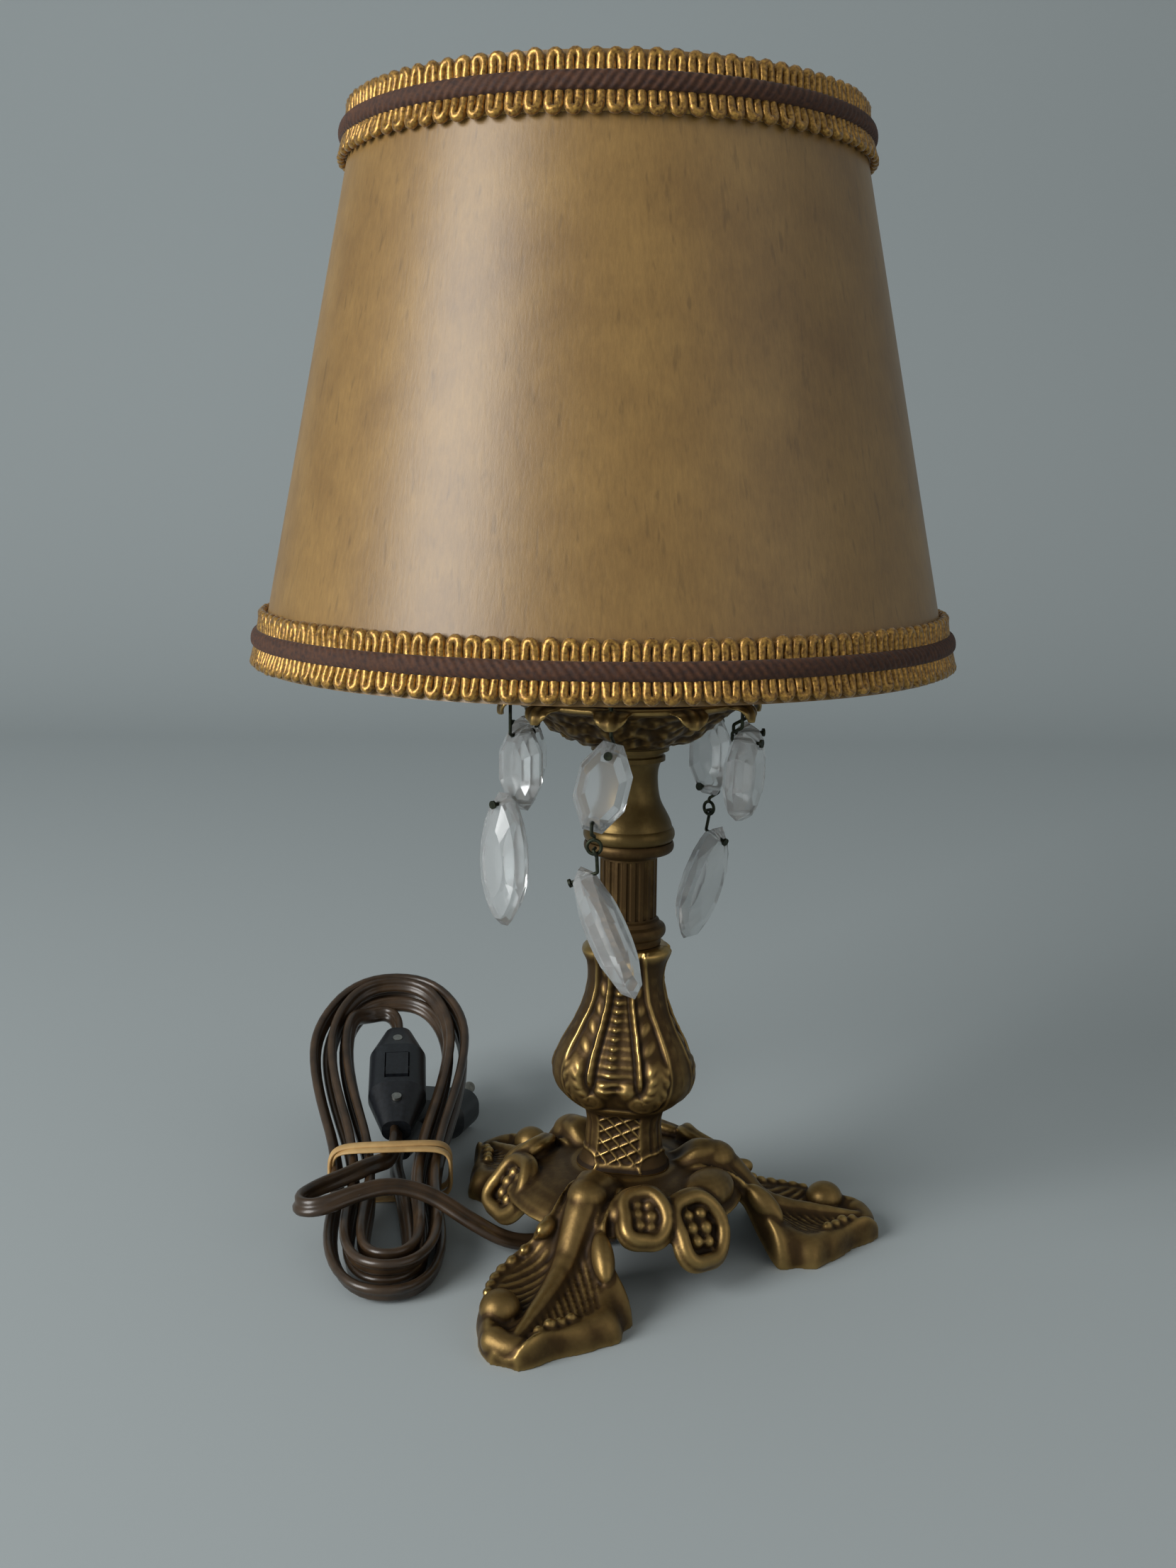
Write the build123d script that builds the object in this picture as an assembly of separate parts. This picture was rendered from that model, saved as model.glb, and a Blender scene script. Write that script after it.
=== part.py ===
from build123d import *
from math import atan2, cos, pi, radians, sin, sqrt, tan
import os

# Candle lamp with a parchment shade, crystals and a tied flex. Millimetres.
# The floor is z = 0 and the front is -Y. The shapes are made about the stem's axis,
# then moved so that the origin lies under the middle of the shade.
# An azimuth is measured from the front (-Y) towards +X.

# Stem: heights of the joints between its pieces, from the floor up
hub_seat_z = 18.5
hub_top_z = 25.5
baluster_top_z = 88.0
column_top_z = 116.3
vase_top_z = 142.0
pan_floor_z = 146.0
joint_gap = 0.1

# Tie tube that clamps the stem, and what it passes through
tie_tube_diameter = 10.0
tie_tube_bore = 7.0
tie_tube_clearance = 0.2
tie_tube_thread_clearance = 0.05
tie_tube_top_z = 158.0
base_nut_flats = 17.0
base_nut_height = 4.0
base_washer_diameter = 26.0
base_washer_height = 1.5
bush_flange_diameter = 9.0
bush_flange_height = 1.5

# Three-leaf foot casting
leg_count = 3
leg_azimuth = -24.0
leg_wall = 2.4
leg_reach = 73.0
toe_start = 69.0
cartouche_thickness = 4.5
cartouche_rim = 2.3
cartouche_recess = 2.0
# two cartouches stand between each leg and the next: a small one high up, then a larger one lower down
small_cartouche_offset = 33.0
small_cartouche_half = (7.0, 7.8)
small_cartouche_centre = (30.5, 22.6)
small_cartouche_tilt = 45.0
large_cartouche_offset = 60.0
large_cartouche_half = (8.4, 9.8)
large_cartouche_centre = (33.6, 17.8)
large_cartouche_tilt = 32.0

# Three-sided baluster and fluted column
panel_azimuth = -12.0
column_radius = 7.7
flute_count = 20
flute_radius = 0.75
flute_bottom_z = 95.5
flute_top_z = 111.5

# Drip pan: a deep bowl with a shelf and a drooping petal at each hook hole
pan_rim_radius = 30.6
pan_lip_bottom_z = 153.4
pan_lip_top_z = 155.0
pan_rim_height = 0.6
petal_overhang = 4.6
petal_reach = pan_rim_radius + petal_overhang
petal_wall = 1.4
petal_bottom_z = 150.0
petal_arc = 15.0
petal_round = 4.8
hook_hole_count = 10
hook_hole_radius = 1.25
hook_offset = 1.3
hook_circle = pan_rim_radius + hook_offset
first_hook_azimuth = -10.0

# Electric candle on the pan
sleeve_diameter = 26.0
sleeve_wall = 1.0
sleeve_clearance = 0.15
sleeve_seat_z = 150.5
sleeve_top_z = 197.0
cup_top_z = 158.0
cup_wall = 1.9
holder_diameter = 23.2
holder_bottom_z = 152.5
holder_top_z = 195.5
holder_floor_z = 162.0
holder_bore = 17.0
shell_diameter = 16.6
shell_wall = 1.1
shell_bottom_z = 170.0
shell_top_z = 194.0
contact_diameter = 8.0
contact_height = 5.0
bulb_contact_gap = 0.3
bulb_cap_clearance = 0.3
bulb_cap_top_z = 196.0
bulb_neck_diameter = 17.0
bulb_diameter = 35.0
bulb_widest_z = 224.0
bulb_tip_z = 272.0
bulb_wall = 0.8

# Shade: parchment cone, wire rings, spider and bulb clip
shade_bottom_z = 164.3
shade_top_z = 300.0
shade_bottom_radius = 88.6
shade_top_radius = 61.6
shade_thickness = 0.7
shade_offset_x = -7.6
shade_wire = 2.4
shade_wire_inset = 2.2
shade_seam_gap = 0.05
spider_arm_count = 3
spider_arm_wire = 2.0
spider_ring_z = 262.0
clip_wire = 1.6
clip_leg_count = 4
clip_gap = 0.4
spider_lift = 1.8
clip_bottom_z = 226.0
braid_height = 14.5
braid_thickness = 1.5
braid_cord_diameter = 4.5
braid_cord_sunk = 0.9

# Crystals and their wires
wire_diameter = 0.9
wire_bend = 0.8
pin_head_diameter = 2.2
pin_head_thickness = 0.6
bead_width = 13.5
bead_length = 23.0
bead_thickness = 8.0
bead_side = 9.0
bead_end = 5.2
bead_table = 0.62
stone_crown = 0.86
stone_crown_rise = 0.6
drop_length = 36.0
drop_width = 15.0
drop_thickness = 9.0
drop_table = 0.5
drop_middle = 0.53
crystal_hole = 1.5
crystal_hole_inset = 2.7
bead_top_z = 147.6
link_drop = 6.6
link_ring_radius = 1.8
drop_hook_length = 6.5
drop_pin_reach = 3.8
left_chain_twist = 40.0
pin_play = 0.5

# Flat twin flex, modelled as a round tube of the same section
flex_diameter = 3.6
inner_flex_top_z = 161.6
lead_points = [
    (0, 0, 11), (0, 0, 2.6), (-8, -1.5, 2.4), (-20, -5, 2.4), (-31, -9, 3.8), (-42, -7.5, 9.2),
    (-53, -2.5, 14.8), (-64.5, -1.5, 17.5), (-74.5, -7, 17), (-82, -11.5, 15.6), (-87.2, -9.8, 14.6),
    (-89.4, -4.2, 14), (-86.4, 3.4, 13.8), (-80, 10.6, 14.2), (-73.5, 17, 15),
]

# Hank of flex: a frame of its own, p along the hank, q across it, z up
hank_origin = (-68.5, 27.0)
hank_heading = (-0.0995, 0.995)
hank_turns = 4.75
hank_reverse_turn = 2.0
hank_layer_drop = 6.0
hank_drop_bulge = 0.3
hank_far_reach = 81.0
hank_far_half = 24.5
hank_far_bulge = 45.0
hank_near_reach = 62.0
hank_near_half = 15.5
hank_near_bulge = 38.0
hank_waist_half = 13.0
hank_waist_step = 4.6
hank_far_step = 5.0
hank_near_step = 4.7
hank_near_end_step = 5.5
hank_waist_z = 4.6
hank_near_z = 2.2
hank_far_slope = 0.4

# In-line switch, inside the far half of the hank
switch_near = 14.0
switch_far = 60.0
switch_side = 1.4
switch_near_z = 15.7
switch_slope = 0.3
switch_width = 18.0
switch_thickness = 14.0
switch_end_width = 9.0
switch_end_thickness = 7.5
switch_seam = 0.1
rocker_length = 12.0
rocker_width = 7.0
rocker_rise = 1.6
rocker_axle_diameter = 2.0
rocker_play = 0.4
switch_screw_diameter = 3.0
switch_screw_spacing = 30.0

# Two-pin plug, lying under the far half of the hank
plug_start = 20.0
plug_relief_length = 14.0
plug_body_length = 24.0
plug_width = 33.0
plug_thickness = 13.0
plug_rear_width = 9.0
plug_side = 2.5
plug_turn = -14.0
plug_relief_diameter = 6.0
plug_pin_diameter = 4.0
plug_pin_length = 19.0
plug_pin_spacing = 18.6
plug_axis_z = 6.7

# Rubber band round the hank's waist
band_width = 9.0
band_thickness = 1.6
band_clearance = 0.7
band_corner = 4.5


# General helpers
def at_azimuth(shape, azimuth):
    """Turn a shape made at the front to another azimuth."""
    return Rot(0, 0, azimuth) * shape


def radial_plane(azimuth, radius=0.0, z=0.0):
    """Upright plane through the axis: x runs outward, y runs up."""
    outward = Vector(sin(radians(azimuth)), -cos(radians(azimuth)), 0)
    origin = outward * radius + Vector(0, 0, z)
    return Plane(origin=origin, x_dir=outward, z_dir=outward.cross(Vector(0, 0, 1)))


def turned(outline):
    """Revolve a half outline of (r, z) points. A list of points is a smooth curve through them."""
    edges = []
    last = outline[0]
    for step in list(outline[1:]) + [outline[0]]:
        if isinstance(step, list):
            run = [last] + step
            edges.append(Spline(*[(r, 0, z) for r, z in run]))
            last = step[-1]
        else:
            edges.append(Line((last[0], 0, last[1]), (step[0], 0, step[1])))
            last = step
    return revolve(Face(Wire(edges)), Axis.Z)


def ring_of_wire(radius, z, wire):
    return Pos(0, 0, z) * Torus(radius, wire / 2)


def sweep_round(path, diameter):
    """A round tube along a path."""
    return sweep(Plane(origin=path @ 0, z_dir=path % 0) * Circle(diameter / 2), path=path)


def bent_wire(points, diameter, bend):
    """A wire of straight runs with one bend radius."""
    return sweep_round(FilletPolyline(*points, radius=bend), diameter)


def stem_bore():
    return tie_tube_diameter / 2 + tie_tube_clearance


# Foot casting
# Each row: reach from the axis, heights of the midrib, the hollow beside it and the leaf's edge,
# then half widths of the leaf's edge and of the skirt, and the height where the skirt ends
leg_rows = [
    (9.0, 26.0, 25.2, 22.5, 5.0, 6.0, 17.5),
    (15.0, 28.6, 27.4, 24.4, 6.2, 7.2, 18.6),
    (21.0, 30.0, 28.2, 25.0, 6.8, 7.8, 19.4),
    (27.0, 28.2, 26.4, 23.6, 7.0, 8.0, 17.6),
    (32.0, 23.8, 22.0, 20.5, 7.6, 8.8, 14.0),
    (36.0, 18.8, 16.8, 15.6, 9.6, 12.6, 6.0),
    (40.0, 13.8, 11.8, 11.2, 13.2, 18.8, 0.0),
    (46.0, 11.0, 8.6, 8.8, 15.6, 19.0, 0.0),
    (53.0, 9.6, 7.0, 7.8, 15.0, 17.8, 0.0),
    (60.0, 8.4, 6.2, 7.2, 12.6, 14.8, 0.0),
    (66.0, 7.6, 5.9, 7.0, 9.6, 11.4, 0.0),
    (70.0, 7.3, 5.9, 7.0, 7.4, 8.8, 0.0),
]


def leg_outer(row):
    reach, rib_z, hollow_z, edge_z, edge, skirt, skirt_z = row
    rib = 0.16 * edge
    right = [(rib, rib_z), (0.5 * edge, hollow_z), (edge, edge_z), (skirt, skirt_z)]
    return [(-x, z) for x, z in reversed(right)] + right


def leg_inner(row):
    reach, rib_z, hollow_z, edge_z, edge, skirt, skirt_z = row
    right = [(0.5 * edge, hollow_z - leg_wall), (edge - leg_wall, edge_z - leg_wall)]
    right.append((skirt - leg_wall, skirt_z))
    return list(reversed(right)) + [(-x, z) for x, z in right]


def leg_wire(points, reach):
    return Wire.make_polygon([Vector(x, -reach, z) for x, z in points], close=True)


def leaf_leg():
    """One hollow leaf leg along -Y, with a solid rounded toe."""
    shell = Solid.make_loft([leg_wire(leg_outer(row) + leg_inner(row), row[0]) for row in leg_rows], True)
    last = leg_rows[-1]
    back = leg_wire(leg_outer(last), toe_start)
    front = leg_wire([(0.72 * x, 0.86 * z) for x, z in leg_outer(last)], leg_reach)
    return shell + Solid.make_loft([back, front], True)


def cartouche(half, centre, tilt):
    """Oval plaque with a raised rim, standing out from the skirt of the hub."""
    radius, z = centre
    up = radians(tilt)
    face = Plane(origin=(0, -radius, z), x_dir=(1, 0, 0), z_dir=(0, -cos(up), sin(up)))
    plaque = extrude(face * Ellipse(*half), -cartouche_thickness)
    recess = extrude(face * Ellipse(half[0] - cartouche_rim, half[1] - cartouche_rim), -cartouche_recess)
    return plaque - recess


def foot_casting():
    bore = stem_bore()
    hub = turned([
        (bore, hub_seat_z), (bore, hub_top_z - joint_gap), (13.4, hub_top_z - joint_gap),
        [(15.6, hub_top_z - 0.8), (20.0, 24.2), (26.0, 22.8), (31.0, 19.9), (33.0, 17.4)],
        (30.6, 16.2), [(28.0, 18.4), (23.0, 20.6), (17.0, 20.2)], (15.0, hub_seat_z),
    ])
    casting = hub
    for index in range(leg_count):
        azimuth = leg_azimuth + index * 360 / leg_count
        casting += at_azimuth(leaf_leg(), azimuth)
        small = cartouche(small_cartouche_half, small_cartouche_centre, small_cartouche_tilt)
        large = cartouche(large_cartouche_half, large_cartouche_centre, large_cartouche_tilt)
        casting += at_azimuth(small, azimuth + small_cartouche_offset)
        casting += at_azimuth(large, azimuth + large_cartouche_offset)
    seat_height = 10.0
    upper_seat = Pos(0, 0, hub_top_z - joint_gap + seat_height / 2) * Cylinder(14.6, seat_height)
    washer_room = base_washer_diameter / 2 + 0.6
    lower_seat = Pos(0, 0, hub_seat_z - seat_height / 2) * Cylinder(washer_room, seat_height)
    return casting - upper_seat - lower_seat


# Stem
# Each row of the baluster: height, distance of the three faces and reach of the three corners
baluster_rows = [
    (25.5, 11.0, 13.8), (28.0, 10.0, 12.2), (32.0, 9.3, 11.2), (41.0, 9.4, 11.5), (44.5, 13.0, 15.8),
    (49.0, 15.8, 19.6), (54.5, 16.4, 20.3), (60.0, 15.0, 18.4), (66.0, 12.4, 14.9), (72.0, 10.4, 12.0),
    (78.0, 9.3, 10.7), (83.0, 9.8, 11.2), (86.4, 10.9, 12.5), (88.0, 9.9, 11.3),
]


def baluster():
    """Three-sided baluster: rounded triangles lofted up the stem, one face turned to the front."""
    sections = []
    first_corner = panel_azimuth + 60 - 90
    for z, face, corner in baluster_rows:
        triangle = Plane.XY.offset(z) * RegularPolygon(face, 3, major_radius=False, rotation=first_corner)
        rounded = fillet(triangle.vertices(), 2 * face - corner)
        sections.append(rounded)
    body = loft(sections)
    height = baluster_top_z - hub_top_z
    return body - Pos(0, 0, hub_top_z + height / 2) * Cylinder(stem_bore(), 2 * height)


def fluted_column():
    bore = stem_bore()
    bottom = baluster_top_z + joint_gap
    body = turned([
        (bore, bottom), (9.0, bottom), (9.0, 89.8), [(9.9, 90.4), (10.3, 91.7), (9.9, 93.0)], (8.8, 93.6),
        (8.4, 94.6), (column_radius, 95.0), (column_radius, 112.0), (8.8, 112.8), (10.6, 113.2),
        [(11.8, 113.9), (12.1, 115.1), (11.7, column_top_z)], (bore, column_top_z),
    ])
    length = flute_top_z - flute_bottom_z
    flute = Pos(0, -column_radius - 0.15, flute_bottom_z + length / 2) * Cylinder(flute_radius, length)
    return body - [at_azimuth(flute, index * 360 / flute_count) for index in range(flute_count)]


def vase_neck():
    bore = stem_bore()
    bottom = column_top_z + joint_gap
    top = vase_top_z - joint_gap
    return turned([
        (bore, bottom), (11.4, bottom), [(12.2, 117.6), (12.1, 119.2), (11.5, 120.2)],
        [(11.0, 122.0), (9.8, 124.4), (8.4, 127.2), (7.7, 130.4), (7.5, 133.6), (7.8, 136.4), (8.5, 138.0)],
        (9.4, 138.2), (9.4, 139.4), (8.8, 139.8), (8.9, 140.6), (10.4, 140.9), (10.4, top), (bore, top),
    ])


def pan_petal():
    """Shelf outside the rim at the front, with a petal drooping from its edge and a hook hole in it."""
    inside = petal_reach - petal_wall
    profile = [
        (pan_rim_radius - 1.2, pan_lip_top_z), (petal_reach - 1.4, pan_lip_top_z),
        (petal_reach, pan_lip_top_z - 1.2), (petal_reach, petal_bottom_z), (inside, petal_bottom_z),
        (inside, pan_lip_bottom_z), (pan_rim_radius - 2.0, pan_lip_bottom_z),
    ]
    face = Face(Wire.make_polygon([Vector(0, -r, z) for r, z in profile], close=True))
    flap = at_azimuth(revolve(face, Axis.Z, revolution_arc=petal_arc), -petal_arc / 2)
    rounding = Rot(90, 0, 0) * Cylinder(petal_round, 20)
    return flap & Pos(0, -pan_rim_radius, petal_bottom_z + petal_round) * rounding


def drip_pan():
    """Deep bowl with ten petals round its rim and a hook hole at each."""
    bore = stem_bore()
    rim_top = pan_lip_top_z + pan_rim_height
    bowl = turned([
        (bore, vase_top_z), (10.6, vase_top_z),
        [(11.8, 142.9), (15.6, 143.9), (20.1, 146.5), (24.6, 150.2), (pan_rim_radius - 1.0, 153.6)],
        (pan_rim_radius, 154.2), (pan_rim_radius, rim_top - 0.4), (pan_rim_radius - 0.6, rim_top),
        (pan_rim_radius - 1.6, rim_top),
        [(25.2, 153.0), (20.4, 149.4), (16.6, 147.0), (13.4, pan_floor_z)], (bore, pan_floor_z),
    ])
    lip = pan_lip_top_z - pan_lip_bottom_z
    hole = Pos(0, -hook_circle, (pan_lip_top_z + pan_lip_bottom_z) / 2) * Cylinder(hook_hole_radius, 3 * lip)
    petal = pan_petal() - hole
    azimuths = [first_hook_azimuth + index * 360 / hook_hole_count for index in range(hook_hole_count)]
    return bowl + [at_azimuth(petal, azimuth) for azimuth in azimuths]


def tie_tube():
    bottom = hub_seat_z - base_washer_height - base_nut_height - 0.5
    length = tie_tube_top_z - bottom
    ring = Circle(tie_tube_diameter / 2) - Circle(tie_tube_bore / 2)
    return Pos(0, 0, bottom) * extrude(ring, length), bottom


def base_washer():
    ring = Circle(base_washer_diameter / 2) - Circle(stem_bore())
    return Pos(0, 0, hub_seat_z - base_washer_height) * extrude(ring, base_washer_height)


def base_nut():
    hole = Circle(tie_tube_diameter / 2 + tie_tube_thread_clearance)
    hexagon = RegularPolygon(base_nut_flats / 2, 6, major_radius=False) - hole
    return Pos(0, 0, hub_seat_z - base_washer_height - base_nut_height) * extrude(hexagon, base_nut_height)


def cord_bush(tube_bottom):
    """Insulating ring in the tube's lower end, for the flex to leave by."""
    wall = tie_tube_bore / 2 - 0.1
    flex_hole = flex_diameter / 2 + 0.1
    flange = bush_flange_diameter / 2
    return turned([
        (flex_hole, tube_bottom - bush_flange_height), (flange, tube_bottom - bush_flange_height),
        (flange, tube_bottom), (wall, tube_bottom), (wall, tube_bottom + 6), (flex_hole, tube_bottom + 6),
    ])


# Electric candle
def candle_cup():
    thread = tie_tube_diameter / 2 + tie_tube_thread_clearance
    pocket = sleeve_diameter / 2 + sleeve_clearance
    outside = pocket + cup_wall
    return turned([
        (thread, pan_floor_z + joint_gap), (9.6, pan_floor_z + joint_gap),
        [(11.4, 147.4), (14.2, 149.2), (outside, 152.0)], (outside - 0.4, cup_top_z - 1.4),
        (outside, cup_top_z), (pocket, cup_top_z), (pocket, sleeve_seat_z), (thread, sleeve_seat_z),
    ])


def candle_sleeve():
    ring = Circle(sleeve_diameter / 2) - Circle(sleeve_diameter / 2 - sleeve_wall)
    return Pos(0, 0, sleeve_seat_z) * extrude(ring, sleeve_top_z - sleeve_seat_z)


def lampholder_body():
    thread = tie_tube_diameter / 2 + tie_tube_thread_clearance
    outside = holder_diameter / 2
    bore = holder_bore / 2
    flex_hole = flex_diameter / 2 + 0.4
    return turned([
        (thread, holder_bottom_z), (8.0, holder_bottom_z), (8.0, 157.0), (outside, 159.0),
        (outside, holder_top_z), (bore, holder_top_z), (bore, holder_floor_z), (flex_hole, holder_floor_z),
        (flex_hole, tie_tube_top_z + joint_gap), (thread, tie_tube_top_z + joint_gap),
    ])


def lampholder_shell():
    outside = shell_diameter / 2
    ring = Circle(outside) - Circle(outside - shell_wall)
    return Pos(0, 0, shell_bottom_z) * extrude(ring, shell_top_z - shell_bottom_z)


def lampholder_contact():
    """Centre contact: a base disc with a raised tongue under the bulb."""
    wide = contact_diameter / 2
    top = holder_floor_z + contact_height
    return turned([
        (0, holder_floor_z), (wide, holder_floor_z), (wide, holder_floor_z + 1.6),
        (0.5 * wide, holder_floor_z + 1.6), (0.5 * wide, top - 0.6), (0.35 * wide, top), (0, top),
    ])


def bulb_cap():
    outside = shell_diameter / 2 - shell_wall - bulb_cap_clearance
    tip = holder_floor_z + contact_height + bulb_contact_gap
    return turned([
        (0, tip), (2.2, tip), (2.6, tip + 1.6), (outside - 1.4, tip + 4.2), (outside, tip + 5.2),
        (outside, bulb_cap_top_z - 3), (outside + 0.15, bulb_cap_top_z), (outside - 0.6, bulb_cap_top_z),
        (outside - 0.6, tip + 5.4), (0, tip + 4.0),
    ])


def bulb_radius(z):
    """Outer radius of the flame-shaped glass at a height."""
    if z < bulb_widest_z:
        rise = (z - bulb_cap_top_z) / (bulb_widest_z - bulb_cap_top_z)
        return (bulb_neck_diameter + (bulb_diameter - bulb_neck_diameter) * sin(rise * pi / 2)) / 2
    rise = (z - bulb_widest_z) / (bulb_tip_z - bulb_widest_z)
    return bulb_diameter / 2 * cos(rise * pi / 2) ** 0.85


def bulb_glass():
    low, wide, tip = bulb_cap_top_z, bulb_widest_z, bulb_tip_z
    heights = [low + (wide - low) * share for share in (0.33, 0.66, 1.0)]
    heights += [wide + (tip - wide) * share for share in (0.25, 0.5, 0.72, 0.88, 0.96)]
    outer = [(bulb_radius(z), z) for z in heights]
    inner = [(max(r - bulb_wall, 0.5), z) for r, z in reversed(outer)]
    neck = bulb_neck_diameter / 2
    last = outer[-1]
    return turned([
        (neck, low), outer, (0, tip - 0.4), (0, last[1] - 1.2),
        [(last[0] - bulb_wall, last[1] - 2.6)] + inner[1:] + [(neck - bulb_wall, low)],
    ])


def filament_mount():
    """Flared glass stem seated in the bulb's neck on the cap, with a pressed head for the filament."""
    low = bulb_cap_top_z + 0.05
    flare = bulb_neck_diameter / 2 - bulb_wall - 0.1
    return turned([
        (0, low), (flare, low), (flare, low + 1.0), (3.6, low + 2.4), (3.0, 205.0), (1.6, 212.0),
        (1.6, 226.0), (0, 227.0),
    ])


# Shade
def shade_radius(z):
    share = (z - shade_bottom_z) / (shade_top_z - shade_bottom_z)
    return shade_bottom_radius + (shade_top_radius - shade_bottom_radius) * share


def shade_lean():
    """Angle of the cone's wall from upright."""
    return atan2(shade_bottom_radius - shade_top_radius, shade_top_z - shade_bottom_z)


def on_shade(shape):
    """The shade stands to one side of the stem, as its clip sits crooked on the bulb."""
    return Pos(shade_offset_x, 0, 0) * shape


def shade_parchment():
    low, high = shade_bottom_radius, shade_top_radius
    cone = turned([
        (low - shade_thickness, shade_bottom_z), (low, shade_bottom_z), (high, shade_top_z),
        (high - shade_thickness, shade_top_z),
    ])
    return on_shade(cone)


def shade_wire_ring(z):
    radius = shade_radius(z) - shade_thickness - shade_seam_gap - shade_wire / 2 / cos(shade_lean())
    return on_shade(ring_of_wire(radius, z, shade_wire)), radius


def braid_band(edge_z, direction):
    """Braid glued round the cone's edge: a flat band, and the groove line of its round cord."""
    lean = shade_lean()
    along = (-sin(lean) * direction, cos(lean) * direction)
    out = (cos(lean), sin(lean))
    start = (shade_radius(edge_z) + shade_seam_gap, edge_z)
    def place(travel, lift):
        return (start[0] + along[0] * travel + out[0] * lift, start[1] + along[1] * travel + out[1] * lift)
    half = braid_height / 2
    groove = braid_cord_diameter / 2 - 0.2
    floor = braid_thickness - braid_cord_sunk
    band = turned([
        place(0, 0), place(0, 0.7 * braid_thickness), place(1.2, braid_thickness),
        place(half - groove, braid_thickness), place(half - groove, floor), place(half + groove, floor),
        place(half + groove, braid_thickness),
        place(braid_height - 1.2, braid_thickness), place(braid_height, 0.7 * braid_thickness),
        place(braid_height, 0),
    ])
    side = groove - 0.1
    low, shoulder, crown = floor + 0.05, 0.4 * braid_cord_diameter, 0.68 * braid_cord_diameter
    cord = turned([
        place(half - side, low), place(half - side, shoulder), place(half - 0.75 * side, 0.8 * crown),
        place(half - 0.35 * side, crown), place(half + 0.35 * side, crown),
        place(half + 0.75 * side, 0.8 * crown), place(half + side, shoulder), place(half + side, low),
    ])
    return on_shade(band), on_shade(cord)


def clip_ring_radius():
    return bulb_radius(spider_ring_z) + clip_gap + clip_wire / 2


def shade_spider(ring_z, ring_radius):
    """Arms from the top wire ring down to the clip's ring on the bulb."""
    inner = clip_ring_radius() + 0.6 * clip_wire
    hub_z = spider_ring_z + spider_lift
    arms = []
    hub = ring_of_wire(inner, hub_z, spider_arm_wire)
    for index in range(spider_arm_count):
        turn = radians(index * 360 / spider_arm_count + 90)
        reach = ring_radius - shade_wire / 2 - spider_arm_wire / 2 - shade_seam_gap
        top = Vector(shade_offset_x + reach * cos(turn), reach * sin(turn), ring_z)
        bottom = Vector(inner * cos(turn), inner * sin(turn), hub_z)
        knee = top - Vector(0, 0, 8)
        path = FilletPolyline(bottom, knee, top, radius=4)
        arms.append(sweep_round(path, spider_arm_wire))
    return hub + arms


def bulb_clip():
    """Ring on the bulb's taper with spring legs that follow the glass down to its widest part."""
    shape = ring_of_wire(clip_ring_radius(), spider_ring_z, clip_wire)
    lift = clip_gap + clip_wire / 2
    steps = 4
    for index in range(clip_leg_count):
        turn = radians(45 + index * 360 / clip_leg_count)
        points = []
        for step in range(steps + 1):
            z = spider_ring_z + (clip_bottom_z - spider_ring_z) * step / steps
            radius = bulb_radius(z) + lift + (0.35 if step else 0)
            points.append(Vector(radius * cos(turn), radius * sin(turn), z))
        shape += sweep_round(FilletPolyline(*points, radius=12), clip_wire)
    return shape


# Crystals
def bead_outline():
    side, end = bead_side / 2, bead_end / 2
    width, length = bead_width / 2, bead_length / 2
    return [(end, length), (width, side), (width, -side), (end, -length),
            (-end, -length), (-width, -side), (-width, side), (-end, length)]


def drop_outline():
    """Long pear outline, its top at zero and its point rounded by facets."""
    shares = [(0.0, 0.26), (0.05, 0.45), (0.17, 0.72), (0.36, 0.95), (0.53, 1.0), (0.7, 0.92), (0.85, 0.67)]
    shares += [(0.95, 0.38), (1.0, 0.16)]
    right = [(share_x * drop_width / 2, -share_z * drop_length) for share_z, share_x in shares]
    return right + [(-x, z) for x, z in reversed(right)]


def cut_stone(outline, middle, thickness, table, hole_heights):
    """Faceted flat stone: girdle in the XZ plane, two tiers of facets and a table each side, and holes."""
    def layer(y, scale):
        return Wire.make_polygon(
            [Vector(x * scale, y, middle + (z - middle) * scale) for x, z in outline], close=True)
    face, crown = thickness / 2, stone_crown_rise * thickness / 2
    tiers = [(-face, table), (-crown, stone_crown), (0, 1), (crown, stone_crown), (face, table)]
    stone = Solid.make_loft([layer(y, scale) for y, scale in tiers], True)
    for z in hole_heights:
        stone -= Pos(0, 0, z) * Rot(90, 0, 0) * Cylinder(crystal_hole / 2, 3 * thickness)
    return stone


def bead():
    """Octagon bead about its top hole."""
    centre = crystal_hole_inset - bead_length / 2
    lower = 2 * centre
    outline = [(x, z + centre) for x, z in bead_outline()]
    return cut_stone(outline, centre, bead_thickness, bead_table, (0, lower))


def long_drop():
    """Long drop about its top hole."""
    outline = [(x, z + crystal_hole_inset) for x, z in drop_outline()]
    middle = crystal_hole_inset - drop_middle * drop_length
    return cut_stone(outline, middle, drop_thickness, drop_table, (0,))


def bead_hole_z():
    return bead_top_z - crystal_hole_inset


def bead_drop():
    """Distance between a bead's two holes."""
    return bead_length - 2 * crystal_hole_inset


def pin_head(plane, x, z):
    head = Cylinder(pin_head_diameter / 2, pin_head_thickness)
    return plane * Pos(x, z, 0) * Rot(0, 90, 0) * head


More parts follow.
